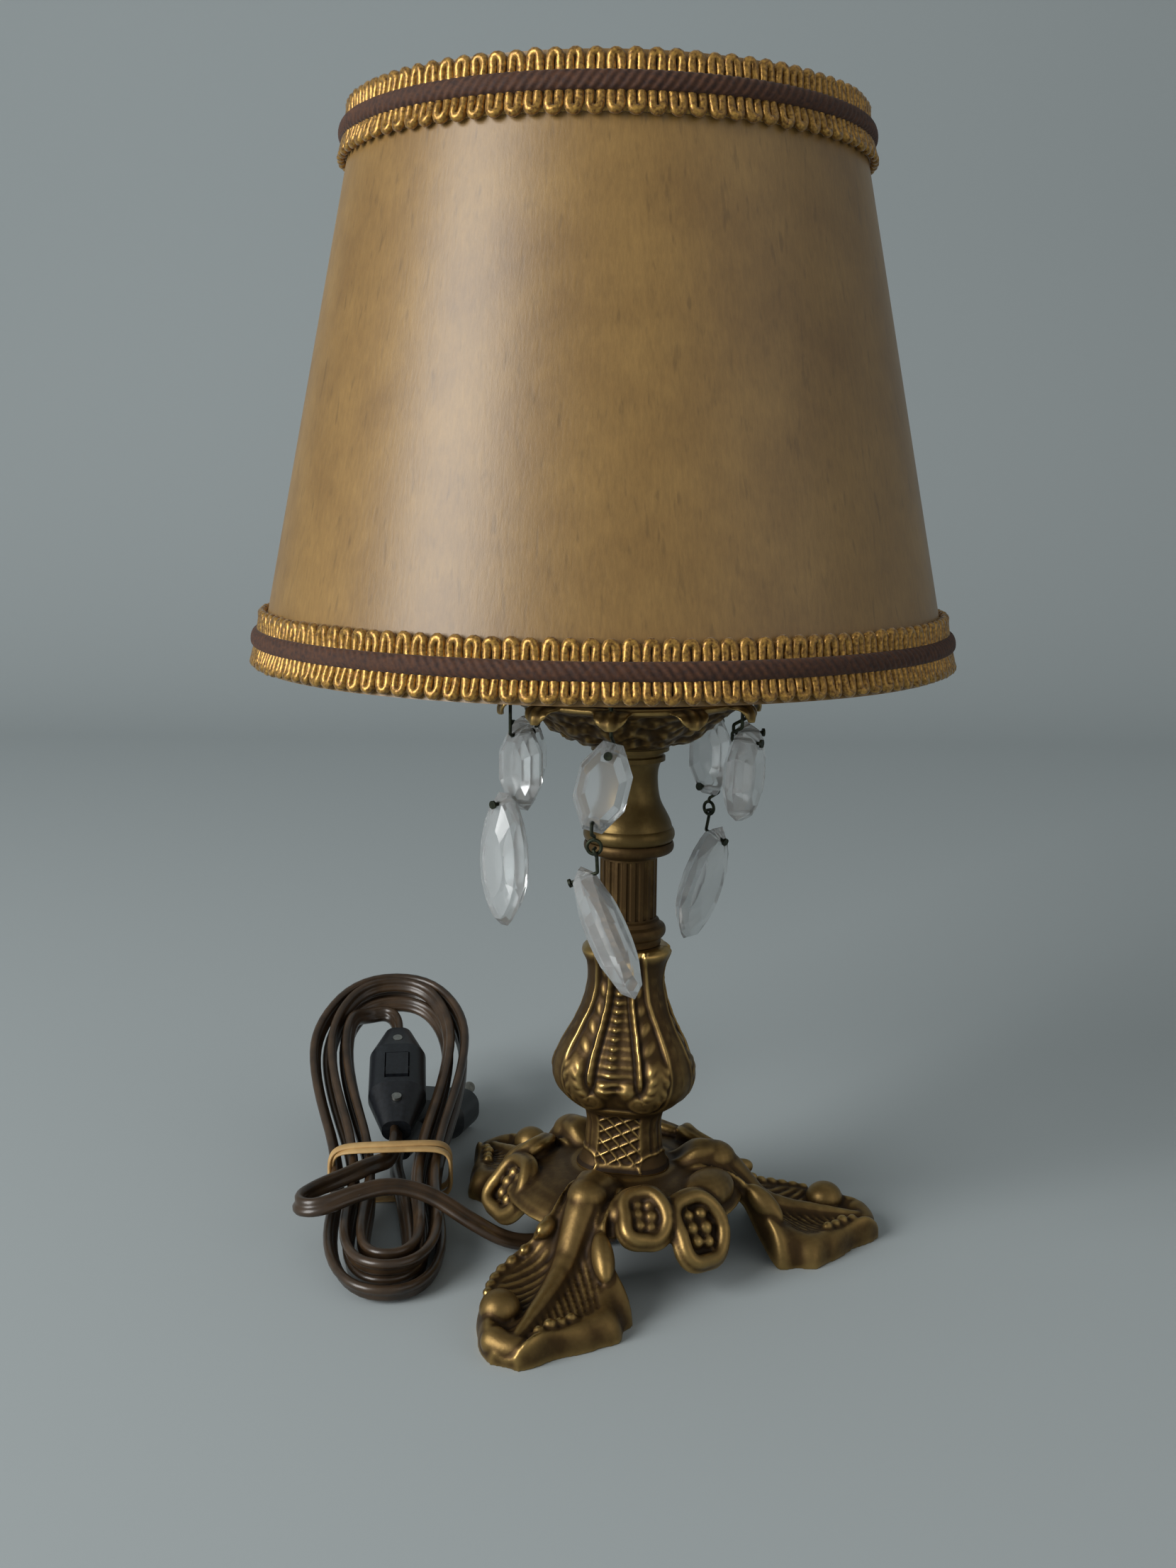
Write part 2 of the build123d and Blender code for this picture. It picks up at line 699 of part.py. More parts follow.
def pan_hook(plane, inset, shift):
    """Headed wire: through the bead's top hole, up behind it, through the pan's shelf and bent over."""
    plane = plane.offset(-shift)
    hole = bead_hole_z()
    crown = pan_lip_top_z + pan_rim_height + 1.0
    reach = bead_half_at(crystal_hole_inset) + pin_play + wire_diameter / 2
    if inset:
        head = -inset - head_reach()
        points = [(head, hole, 0), (0, hole, 0), (0, crown + 0.7, 0), (-2.4, crown + 0.7, 0)]
    else:
        head = head_reach()
        points = [(head, hole, 0), (-reach, hole, 0), (-reach, hole + 2.2, 0)]
        points += [(0, petal_bottom_z - 0.9, shift), (0, crown, shift), (2.4, crown, shift)]
    path = [plane.from_local_coords(Vector(*point)) for point in points]
    return bent_wire(path, wire_diameter, wire_bend) + pin_head(plane, head, hole)


def hook_plane(azimuth, twist):
    """Upright plane through a hook hole: x runs outward, turned by the twist of its chain."""
    return Plane(origin=radial_plane(azimuth, hook_circle).origin, x_dir=radial_plane(azimuth + twist).x_dir,
                 z_dir=radial_plane(azimuth + twist).z_dir)


def hung(shape, plane, turn, inset, z, lean, shift):
    """Place a stone below the pan: lean it, move it sideways, then turn it about its hook."""
    return Pos(*plane.origin) * Rot(0, 0, turn) * Pos(shift, inset, z) * Rot(0, lean, 0) * shape


def link_wire(azimuth, lean):
    """Headed wire through a bead's lower hole, hanging down in front and closed in a small ring."""
    plane = radial_plane(azimuth, hook_circle)
    side = Vector(0, 0, 1) * (bead_drop() * sin(radians(lean)))
    hole = bead_hole_z() - bead_drop() * cos(radians(lean))
    front = bead_half_at(crystal_hole_inset) + pin_play + wire_diameter / 2
    back = -head_reach()
    ring_z = hole - link_drop
    top = ring_z + link_ring_radius
    points = [(back, hole), (front, hole), (front, hole - crystal_hole_inset)]
    points += [(0, top + 1.0), (0, top - 0.3)]
    path = [plane.from_local_coords(Vector(x, z, 0) - side) for x, z in points]
    wire = bent_wire(path, wire_diameter, wire_bend)
    ring_centre = plane.from_local_coords(Vector(0, ring_z, 0) - side)
    loop = Rot(0, 0, 200) * Torus(link_ring_radius, wire_diameter / 2)
    ring = Plane(origin=ring_centre, z_dir=plane.x_dir) * loop
    head = Pos(*(plane.from_local_coords(-side) - plane.origin)) * pin_head(plane, back, hole)
    return wire + ring + head, ring_centre


def drop_frame(azimuth, ring_centre):
    """Plane of a leaning drop about its link ring: x runs along the pan's edge, y runs up."""
    radial = radial_plane(azimuth)
    return Plane(origin=ring_centre, x_dir=radial.z_dir * -1, z_dir=radial.x_dir)


def drop_pin(lean):
    """Middle of a leaning drop's pin and its direction, hung from the pin's upper end."""
    aim = Vector(cos(radians(lean)), sin(radians(lean)), 0)
    return Vector(wire_diameter, -drop_hook_length, 0) - aim * drop_pin_reach, aim


def drop_hook(azimuth, ring_centre, lean):
    """Headed wire through a long drop's hole, with a hook that hangs in the link's ring."""
    plane = drop_frame(azimuth, ring_centre)
    middle, aim = drop_pin(lean)
    bottom = -link_ring_radius + wire_diameter + 0.3
    head_end = middle - aim * drop_pin_reach
    points = [head_end, middle + aim * drop_pin_reach, Vector(wire_diameter, bottom - 1.6, 1.2)]
    points += [Vector(0, bottom, 1.2), Vector(0, bottom, -1.6)]
    wire = bent_wire([plane.from_local_coords(point) for point in points], wire_diameter, 0.5)
    head = Cylinder(pin_head_diameter / 2, pin_head_thickness)
    return wire + plane * Pos(*head_end) * Rot(0, 0, lean) * Rot(0, 90, 0) * head


def on_hook(drop, azimuth, ring_centre, lean):
    """Hang a long drop on its leaning pin, turned edge on to the stem."""
    middle = drop_frame(azimuth, ring_centre).from_local_coords(drop_pin(lean)[0])
    return Pos(*middle) * Rot(0, 0, azimuth) * Rot(0, -lean, 0) * Rot(0, 0, 90) * drop


# Flex
def flex_radii(points):
    """Largest bend that the two runs at each corner allow."""
    radii = []
    for before, corner, after in zip(points, points[1:], points[2:]):
        first, second = corner - before, after - corner
        turn = radians(first.get_angle(second))
        radii.append(0.45 * min(first.length, second.length) / tan(turn / 2))
    return radii


def flex_tube(points, name):
    radii = flex_radii(points)
    path = FilletPolyline(*points, radius=radii)
    tube = sweep_round(path, flex_diameter)
    plain = pi * flex_diameter ** 2 / 4 * path.length
    print(name, "length %.1f" % path.length, "volume share %.4f" % (tube.volume / plain),
          "bends", ["%.1f" % radius for radius in radii])
    return tube


def hank_place(p, q, z):
    """Point of the hank's own frame in the lamp's frame."""
    ax, ay = hank_heading
    return Vector(hank_origin[0] + p * ax + q * ay, hank_origin[1] + p * ay - q * ax, z)


def hank_aim(p, q, slope=0.0):
    ax, ay = hank_heading
    return Vector(p * ax + q * ay, p * ay - q * ax, slope).normalized()


def hank_spiral(turn):
    """How many steps in from the outermost loop, and how far down from the upper layer."""
    if turn < hank_reverse_turn:
        return hank_reverse_turn - turn, 0.0
    if turn < hank_reverse_turn + 0.5:
        travel = 2 * (turn - hank_reverse_turn)
        return -hank_drop_bulge * sin(pi * travel), hank_layer_drop * travel
    return turn - hank_reverse_turn - 0.5, hank_layer_drop


def hank_stop(turn):
    """Point and direction of the flex at a turn: far end, left side, near end, right side, and again."""
    inward, down = hank_spiral(turn)
    phase = round(8 * (turn % 1)) % 8
    side = -1 if phase < 4 else 1
    waist = hank_waist_z + hank_layer_drop - down
    near = hank_near_z + hank_layer_drop - down
    far = waist + hank_far_slope * hank_far_bulge
    if phase == 0:
        reach = hank_far_reach - hank_far_step * inward
        return hank_place(reach, 0, waist + hank_far_slope * reach), hank_aim(0, -1)
    if phase == 4:
        return hank_place(hank_near_end_step * inward - hank_near_reach, 0, near), hank_aim(0, 1)
    if phase in (1, 7):
        half = hank_far_half - hank_far_step * inward
        return hank_place(hank_far_bulge, side * half, far), hank_aim(side, 0, side * hank_far_slope)
    if phase in (2, 6):
        half = hank_waist_half - hank_waist_step * inward
        return hank_place(0, side * half, waist), hank_aim(side, 0, side * hank_far_slope / 4)
    half = hank_near_half - hank_near_step * inward
    return hank_place(-hank_near_bulge, side * half, near), hank_aim(side, 0)


def biarc(start, start_aim, end, end_aim):
    """Two tangent arcs from one point and direction to another."""
    across = end - start
    both = start_aim + end_aim
    spread = 2 * (1 - start_aim.dot(end_aim))
    along = across.dot(both)
    if spread < 1e-6:
        reach = across.dot(across) / (4 * across.dot(end_aim))
    else:
        reach = (sqrt(along * along + spread * across.dot(across)) - along) / spread
    joint = (start + start_aim * reach + end - end_aim * reach) * 0.5
    middle_aim = (end - end_aim * reach - start - start_aim * reach).normalized()
    return [TangentArc(start, joint, tangent=start_aim), TangentArc(joint, end, tangent=middle_aim)]


def switch_frame():
    """The switch's own plane: x along it, y across it, z out of its rocker face."""
    length = switch_far - switch_near
    aim = hank_aim(1, 0, switch_slope)
    centre_p = (switch_near + switch_far) / 2
    centre = hank_place(centre_p, switch_side, switch_near_z + switch_slope * length / 2)
    across = Vector(0, 0, 1).cross(aim)
    half = length / 2 * sqrt(1 + switch_slope ** 2)
    return Plane(origin=centre, x_dir=aim, z_dir=aim.cross(across)), half


def plug_frame():
    """The plug's own plane: x along it towards the pins, z up."""
    rear = hank_place(plug_start, plug_side, plug_axis_z)
    turn = radians(plug_turn)
    aim = hank_aim(cos(turn), -sin(turn))
    return Plane(origin=rear, x_dir=aim, z_dir=(0, 0, 1))


def flex_hank():
    """The tied loops as one unbroken tube, from the switch's far end to the plug."""
    switch, half = switch_frame()
    plug = plug_frame()
    start = switch.from_local_coords(Vector(half, 0, 0))
    start_aim = switch.x_dir
    end = plug.origin
    end_aim = plug.x_dir
    stops = [(start + start_aim * flex_diameter, start_aim)]
    count = round(8 * hank_turns)
    stops += [hank_stop(index / 8) for index in range(1, count + 1)]
    stops.append((end - end_aim * flex_diameter, end_aim))
    edges = [Line(start, stops[0][0])]
    for (here, here_aim), (there, there_aim) in zip(stops, stops[1:]):
        edges += biarc(here, here_aim, there, there_aim)
    edges.append(Line(stops[-1][0], end))
    path = Wire(edges)
    tube = sweep_round(path, flex_diameter)
    report_hank(path, tube)
    return tube


def report_hank(path, tube):
    """Length, share of the plain volume and least gap between two parts of the hank."""
    length = path.length
    spacing = 2.0
    count = int(length / spacing)
    points = [path.position_at(index / count) for index in range(count + 1)]
    skip = int(4 * flex_diameter / spacing)
    least = min(
        (points[one] - points[two]).length
        for one in range(count + 1) for two in range(one + skip, count + 1)
    )
    plain = pi * flex_diameter ** 2 / 4 * length
    print("hank length %.1f" % length, "least gap to itself %.2f" % (least - flex_diameter),
          "volume share %.4f" % (tube.volume / plain))


def flex_lead():
    switch, half = switch_frame()
    end = switch.from_local_coords(Vector(-half, 0, 0))
    points = [Vector(*point) for point in lead_points]
    points += [end - switch.x_dir * 12.5, end]
    return flex_tube(points, "lead")


def inner_flex():
    top = Vector(0, 0, inner_flex_top_z)
    bottom = Vector(*lead_points[0])
    return Pos(*bottom) * extrude(Circle(flex_diameter / 2), top.Z - bottom.Z)


def rubber_band():
    """Flat band round the waist, over the loops and the lead."""
    half = hank_waist_half + hank_drop_bulge * hank_waist_step + flex_diameter / 2 + band_clearance
    low = hank_waist_z - flex_diameter / 2 - band_clearance - 0.3
    high = switch_near_z - switch_slope * switch_near + flex_diameter / 2 + band_clearance + 1.8
    middle = hank_place(0, 0, (low + high) / 2)
    plane = Plane(origin=middle, x_dir=hank_aim(0, 1), z_dir=hank_aim(1, 0))
    inside = RectangleRounded(2 * half, high - low, band_corner)
    outside = RectangleRounded(2 * half + 2 * band_thickness, high - low + 2 * band_thickness,
                               band_corner + band_thickness)
    return extrude(plane * (outside - inside), band_width / 2, both=True)


def switch_section(plane, x, width, thickness):
    section = Plane(origin=plane.from_local_coords(Vector(x, 0, 0)), x_dir=plane.y_dir, z_dir=plane.x_dir)
    return section * RectangleRounded(width, thickness, 0.45 * min(width, thickness))


def switch_parts():
    """Two half shells with a rocker between screws."""
    plane, half = switch_frame()
    body = loft([
        switch_section(plane, -half, switch_end_width, switch_end_thickness),
        switch_section(plane, -0.36 * half, switch_width, switch_thickness),
        switch_section(plane, 0.45 * half, switch_width, switch_thickness),
        switch_section(plane, half, switch_end_width, switch_end_thickness),
    ], ruled=True)
    slab = 2 * switch_width
    upper_block = plane * Pos(0, 0, slab / 2 + switch_seam / 2) * Box(4 * half, slab, slab)
    lower_block = plane * Pos(0, 0, -slab / 2 - switch_seam / 2) * Box(4 * half, slab, slab)
    well_depth = switch_thickness / 2 - 1.4
    well = plane * Pos(0, 0, well_depth / 2 + switch_thickness / 2 - well_depth + 0.5) * Box(
        rocker_length + 2 * rocker_play, rocker_width + 2 * rocker_play, well_depth + 1)
    axle_z = switch_thickness / 2 - 2.2
    axle_length = rocker_width + 3.0
    axle = Rot(90, 0, 0) * Cylinder(rocker_axle_diameter / 2, axle_length)
    axle_hole = plane * Pos(0, 0, axle_z) * Rot(90, 0, 0) * Cylinder(
        rocker_axle_diameter / 2 + 0.05, axle_length + 0.6)
    screw_holes = []
    screws = []
    for x in (-switch_screw_spacing / 2, switch_screw_spacing / 2):
        drill = Cylinder(switch_screw_diameter / 2 + 0.1, 2 * switch_thickness)
        screw_holes.append(plane * Pos(x, 0, 0) * drill)
        length = switch_thickness - 1.2
        screws.append(plane * Pos(x, 0, 0) * Cylinder(switch_screw_diameter / 2, length))
    top = (body & upper_block) - well - axle_hole - screw_holes
    bottom = (body & lower_block) - screw_holes
    crown = rocker_rise + 1.4
    paddle = Pos(0, 0, switch_thickness / 2 - 1.0) * Box(rocker_length - 1.0, rocker_width, crown)
    lobe = Pos(0, 0, axle_z) * Rot(90, 0, 0) * Cylinder(1.9, rocker_width)
    rocker = plane * (paddle + lobe + Pos(0, 0, axle_z) * axle)
    pivot = plane.from_local_coords(Vector(0, 0, axle_z))
    print_pivot("rocker pivot", pivot)
    print("rocker axis", [round(value, 5) for value in plane.y_dir])
    return top, bottom, rocker, Compound(screws)


def plug_parts():
    """Moulded flat plug with a strain relief and two round pins."""
    plane = plug_frame()
    def section(x, width, thickness):
        place = Plane(origin=plane.from_local_coords(Vector(x, 0, 0)), x_dir=plane.y_dir, z_dir=plane.x_dir)
        return place * RectangleRounded(width, thickness, 0.42 * min(width, thickness))
    relief_end = plug_relief_length
    face = plug_relief_length + plug_body_length
    relief = loft([section(0, plug_relief_diameter, plug_relief_diameter),
                   section(relief_end, plug_rear_width, plug_rear_width)], ruled=True)
    body = loft([section(relief_end, plug_rear_width, plug_rear_width),
                 section(relief_end + 0.5 * plug_body_length, 0.86 * plug_width, plug_thickness),
                 section(face, plug_width, plug_thickness)], ruled=True)
    seat = 6.0
    pins = []
    holes = []
    for side in (-plug_pin_spacing / 2, plug_pin_spacing / 2):
        length = plug_pin_length + seat
        place = plane * Pos(face - seat + length / 2, side, 0) * Rot(0, 90, 0)
        pin = place * Cylinder(plug_pin_diameter / 2, length)
        tip = pin.faces().sort_by(Axis(plane.origin, plane.x_dir))[-1]
        pins.append(fillet(tip.edges(), 0.4 * plug_pin_diameter))
        holes.append(place * Cylinder(plug_pin_diameter / 2 + 0.05, length + 0.2))
    return relief + body - holes, Compound(pins)


def in_frame(shape):
    """Move from the stem's axis to the frame, its origin on the table under the middle of the shade."""
    return Pos(-shade_offset_x, 0, 0) * shape


def print_pivot(name, point):
    print(name, [round(value, 4) for value in point - Vector(shade_offset_x, 0, 0)])


def crystal_chains():
    """Wires, beads and drops of the six places that carry crystals."""
    step = 360 / hook_hole_count
    places = {
        "left": first_hook_azimuth - 2 * step, "front": first_hook_azimuth,
        "right": first_hook_azimuth + 2 * step, "side": first_hook_azimuth + 3 * step,
        "back_right": first_hook_azimuth + 4 * step, "back_left": first_hook_azimuth - 3 * step,
    }
    bead_lean = {"front": -13.0, "right": -9.0}
    bead_shift = {"right": 3.0}
    drop_lean = {"front": 24.0, "back_right": 18.0}
    parts = {}
    stone, drop = bead(), long_drop()
    for name, azimuth in places.items():
        inset = pinned_inset(stone, drop) if name == "left" else 0.0
        lean = bead_lean.get(name, 0.0)
        shift = bead_shift.get(name, 0.0)
        turn = azimuth + (left_chain_twist if name == "left" else 0.0)
        plane = hook_plane(azimuth, turn - azimuth)
        parts["octagon_" + name] = hung(stone, plane, turn, inset, bead_hole_z(), -lean, shift)
        wires = [pan_hook(plane, inset, shift)]
        if name == "left":
            pin_z = bead_hole_z() - bead_drop()
            out = pinned_offset() - inset
            reach = out + head_reach()
            back = -inset - head_reach()
            pin = Rot(0, 90, 0) * Cylinder(wire_diameter / 2, reach - back)
            pin = plane * Pos((reach + back) / 2, pin_z, 0) * pin
            wires.append(pin + pin_head(plane, reach, pin_z) + pin_head(plane, back, pin_z))
            parts["drop_left"] = hung(drop, plane, turn, -out, pin_z, 0, 0)
            print_pivot("drop_left pivot", plane.from_local_coords(Vector(out, pin_z, 0)))
        if name in drop_lean:
            link, ring_centre = link_wire(azimuth, lean)
            wires.append(link)
            parts["drop_hook_" + name] = drop_hook(azimuth, ring_centre, drop_lean[name])
            parts["drop_" + name] = on_hook(drop, azimuth, ring_centre, drop_lean[name])
            print_pivot("drop_" + name + " pivot", ring_centre)
        parts["crystal_wire_" + name] = Compound(wires)
        pivot = plane.from_local_coords(Vector(0, (pan_lip_bottom_z + pan_lip_top_z) / 2, 0))
        print_pivot("octagon_" + name + " pivot", pivot)
    return parts


def stone_half_at(depth, reach, thickness, table):
    """Half thickness of a stone at a depth from its end; the reach runs from its middle to that end."""
    scale = 1 - depth / reach
    if scale > stone_crown:
        return thickness / 2 * stone_crown_rise * (1 - scale) / (1 - stone_crown)
    upper = (stone_crown - scale) / (stone_crown - table)
    return thickness / 2 * (stone_crown_rise + (1 - stone_crown_rise) * upper)


def bead_half_at(depth):
    return stone_half_at(depth, bead_length / 2, bead_thickness, bead_table)


def head_reach():
    """Distance of a pin head from a bead's middle plane."""
    return bead_half_at(crystal_hole_inset + pin_head_diameter / 2) + pin_head_thickness / 2 + 0.25


def pinned_offset():
    """How far the left drop stands in front of its bead on their common pin."""
    drop_half = stone_half_at(crystal_hole_inset, drop_middle * drop_length, drop_thickness, drop_table)
    return bead_half_at(crystal_hole_inset) + drop_half + pin_play


def pinned_inset(stone, drop):
    """Shift of the left bead towards the stem that lets bead and drop balance below the hook."""
    return pinned_offset() * drop.volume / (drop.volume + stone.volume)


os.makedirs("parts", exist_ok=True)


def save(name, shape):
    export_step(in_frame(shape), "parts/" + name + ".step")


tube, tube_bottom = tie_tube()
top_ring_z = shade_top_z - shade_wire_inset
bottom_ring_z = shade_bottom_z + shade_wire_inset
top_wire, top_wire_radius = shade_wire_ring(top_ring_z)
bottom_wire, bottom_wire_radius = shade_wire_ring(bottom_ring_z)
top_braid, top_cord = braid_band(shade_top_z, -1)
bottom_braid, bottom_cord = braid_band(shade_bottom_z, 1)
switch_top, switch_bottom, switch_rocker, switch_screws = switch_parts()
plug_body, plug_pins = plug_parts()

pieces = {
    "foot_casting": foot_casting(),
    "baluster": baluster(),
    "fluted_column": fluted_column(),
    "vase_neck": vase_neck(),
    "drip_pan": drip_pan(),
    "tie_tube": tube,
    "base_washer": base_washer(),
    "base_nut": base_nut(),
    "cord_bush": cord_bush(tube_bottom),
    "inner_flex": inner_flex(),
    "candle_cup": candle_cup(),
    "candle_sleeve": candle_sleeve(),
    "lampholder_body": lampholder_body(),
    "lampholder_shell": lampholder_shell(),
    "lampholder_contact": lampholder_contact(),
    "bulb_cap": bulb_cap(),
    "bulb_glass": bulb_glass(),
    "filament_mount": filament_mount(),
    "shade_parchment": shade_parchment(),
    "shade_top_wire": top_wire,
    "shade_bottom_wire": bottom_wire,
    "shade_spider": shade_spider(top_ring_z, top_wire_radius),
    "bulb_clip": bulb_clip(),
    "top_braid": top_braid,
    "top_braid_cord": top_cord,
    "bottom_braid": bottom_braid,
    "bottom_braid_cord": bottom_cord,
    "flex_lead": flex_lead(),
    "flex_hank": flex_hank(),
    "rubber_band": rubber_band(),
    "switch_top": switch_top,
    "switch_bottom": switch_bottom,
    "switch_rocker": switch_rocker,
    "switch_screws": switch_screws,
    "plug_body": plug_body,
    "plug_pins": plug_pins,
}
pieces.update(crystal_chains())
for name, shape in pieces.items():
    save(name, shape)
print(len(pieces), "pieces")
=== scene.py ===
# %% [markdown]
# Candle lamp with a parchment shade.
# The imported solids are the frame: every visible piece is either one of them with a real finish,
# or a finer mesh that stands in the same place. Everything is in metres, and MM turns a size
# in millimetres into metres so that the numbers below read like a workshop drawing. The origin lies
# on the table under the middle of the shade; the stem stands a little to its right, at stem_x.

# %% Load the frame
import bpy, bmesh, math
import numpy as np
from mathutils import Matrix, Vector, noise


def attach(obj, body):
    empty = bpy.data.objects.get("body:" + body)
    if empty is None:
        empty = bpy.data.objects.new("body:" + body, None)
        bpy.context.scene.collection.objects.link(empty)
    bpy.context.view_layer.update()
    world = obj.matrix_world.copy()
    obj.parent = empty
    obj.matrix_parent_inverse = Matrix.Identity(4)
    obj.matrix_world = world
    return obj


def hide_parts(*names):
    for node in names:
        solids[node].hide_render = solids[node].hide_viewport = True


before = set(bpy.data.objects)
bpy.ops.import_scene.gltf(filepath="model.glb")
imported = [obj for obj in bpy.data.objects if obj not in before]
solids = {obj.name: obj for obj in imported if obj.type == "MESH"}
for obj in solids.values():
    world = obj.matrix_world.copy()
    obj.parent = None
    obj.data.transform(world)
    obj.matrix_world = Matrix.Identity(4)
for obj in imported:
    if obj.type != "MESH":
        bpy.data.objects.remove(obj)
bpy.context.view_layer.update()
scene = bpy.context.scene
scene.view_settings.view_transform = "Standard"
MM = 0.001
stem_x = 7.6 * MM


# %% [markdown]
# A few helpers do for the whole file. The first turns an sRGB hex colour, as a paint chart
# gives it, into the linear numbers that the renderer works in. The next adds one shader node
# with its settings and links. The others make a mesh object that rides on a body of the lamp,
# put a finish on solids of the frame, and turn millimetres from the stem into scene places.

# %% Helpers
def linear(hex_colour):
    channels = [int(hex_colour[i:i + 2], 16) / 255 for i in (1, 3, 5)]
    return tuple(c / 12.92 if c <= 0.04045 else ((c + 0.055) / 1.055) ** 2.4 for c in channels) + (1.0,)


def node(tree, kind, settings=None, links=None):
    made = tree.nodes.new(kind)
    for key, value in (settings or {}).items():
        if isinstance(key, str) and hasattr(made, key):
            setattr(made, key, value)
        else:
            made.inputs[key].default_value = value
    for socket, source in (links or {}).items():
        tree.links.new(source, made.inputs[socket])
    return made


def make_piece(name, verts, faces, body, finish):
    mesh = bpy.data.meshes.new(name)
    mesh.from_pydata([tuple(v) for v in verts], [], faces)
    mesh.validate()
    mesh.polygons.foreach_set("use_smooth", [True] * len(mesh.polygons))
    piece = bpy.data.objects.new(name, mesh)
    scene.collection.objects.link(piece)
    piece.data.materials.append(finish)
    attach(piece, body)
    return piece


def dress(finish, *names):
    for name in names:
        slots = solids[name].data.materials
        slots.clear()
        slots.append(finish)


def new_finish(name):
    finish = bpy.data.materials.new(name)
    finish.use_nodes = True
    tree = finish.node_tree
    surface = tree.nodes["Principled BSDF"]
    return finish, tree, surface


def from_stem(x, y, z):
    return (stem_x + x * MM, y * MM, z * MM)


def angles_round(count):
    return [2 * math.pi * k / count for k in range(count)]


print("helpers ready")


# %% [markdown]
# The photograph was taken from a little above the drip pan, with an ordinary phone lens.
# The lens and the place come from fitting the shade's rims and the stem's rings, so the
# camera is set from those numbers and not moved by eye.

# %% Camera
lens_pixels, picture_height = 2284.0, 2212.0
sensor_height = 36.0
camera_data = bpy.data.cameras.new("camera")
camera_data.sensor_fit = "VERTICAL"
camera_data.sensor_height = sensor_height
camera_data.lens = sensor_height * lens_pixels / picture_height
camera_data.clip_start = 0.01
camera = bpy.data.objects.new("camera", camera_data)
scene.collection.objects.link(camera)
camera_place = (-3.5 * MM, -424 * MM, 210.7 * MM)
tilt_down, roll = math.radians(10.6), math.radians(0.5)
turn = Matrix.Rotation(math.pi / 2 - tilt_down, 4, "X") @ Matrix.Rotation(roll, 4, "Z")
camera.matrix_world = Matrix.Translation(camera_place) @ turn
scene.camera = camera
print("camera lens %.1f mm" % camera_data.lens)


# %% [markdown]
# A plain pale sweep carries the lamp: one sheet of matt card that curves up behind it, so no edge
# shows. A large soft light on the left falls on it as daylight from a window would, a weaker one on
# the right keeps the shadow side readable, and the world fills in the rest.

# %% Studio
sweep_front, sweep_back, sweep_bend, sweep_top, sweep_half = -2.2, 0.9, 0.5, 2.6, 2.6


def sweep_sheet():
    profile = [(sweep_front, 0.0), (sweep_back, 0.0)]
    for i in range(1, 13):
        a = i * math.pi / 24
        profile.append((sweep_back + sweep_bend * math.sin(a), sweep_bend - sweep_bend * math.cos(a)))
    profile += [(sweep_back + sweep_bend, sweep_top)]
    verts = [(x, y, z) for y, z in profile for x in (-sweep_half, sweep_half)]
    faces = [(2 * i, 2 * i + 1, 2 * i + 3, 2 * i + 2) for i in range(len(profile) - 1)]
    mesh = bpy.data.meshes.new("backdrop")
    mesh.from_pydata(verts, [], faces)
    mesh.polygons.foreach_set("use_smooth", [True] * len(mesh.polygons))
    sheet = bpy.data.objects.new("backdrop", mesh)
    scene.collection.objects.link(sheet)
    return sheet


backdrop = sweep_sheet()
card, _, card_surface = new_finish("matt studio card")
card_surface.inputs["Base Color"].default_value = linear("#A9B1B3")
card_surface.inputs["Roughness"].default_value = 0.9
card_surface.inputs["Specular IOR Level"].default_value = 0.15
backdrop.data.materials.append(card)


def soft_lamp(name, place, aim, size, watts, colour):
    data = bpy.data.lights.new(name, "AREA")
    data.shape = "RECTANGLE"
    data.size, data.size_y = size
    data.energy = watts
    data.color = linear(colour)[:3]
    lamp = bpy.data.objects.new(name, data)
    lamp.location = place
    lamp.rotation_euler = (Vector(aim) - Vector(place)).to_track_quat("-Z", "Y").to_euler()
    scene.collection.objects.link(lamp)


soft_lamp("window", (-1.2, -0.85, 0.7), (0, 0, 0.16), (0.9, 1.0), 27, "#FBFBFA")
soft_lamp("fill", (1.3, -0.9, 0.6), (0, 0, 0.14), (1.2, 1.2), 2, "#FFF6EC")
world = bpy.data.worlds.new("studio")
scene.world = world
world.use_nodes = True
sky = world.node_tree.nodes["Background"]
sky.inputs["Color"].default_value = linear("#E2E6E6")
sky.inputs["Strength"].default_value = 0.38
print("studio ready")


# %% [markdown]
# Aged cast brass. The stand was cast, given a brown patina and rubbed back, so the hollows stay
# dark and the high parts show metal. The finer meshes carry a number called wear on each vertex,
# worked out from their relief: below zero in a hollow, above zero on a ridge. Solids without it
# read zero and take the middle tone. A cloudy noise about 6 mm across breaks the tone up, and the
# grain of the casting sand, 0.8 mm, is a low bump. Patina is an oxide, so it is less metallic than brass.

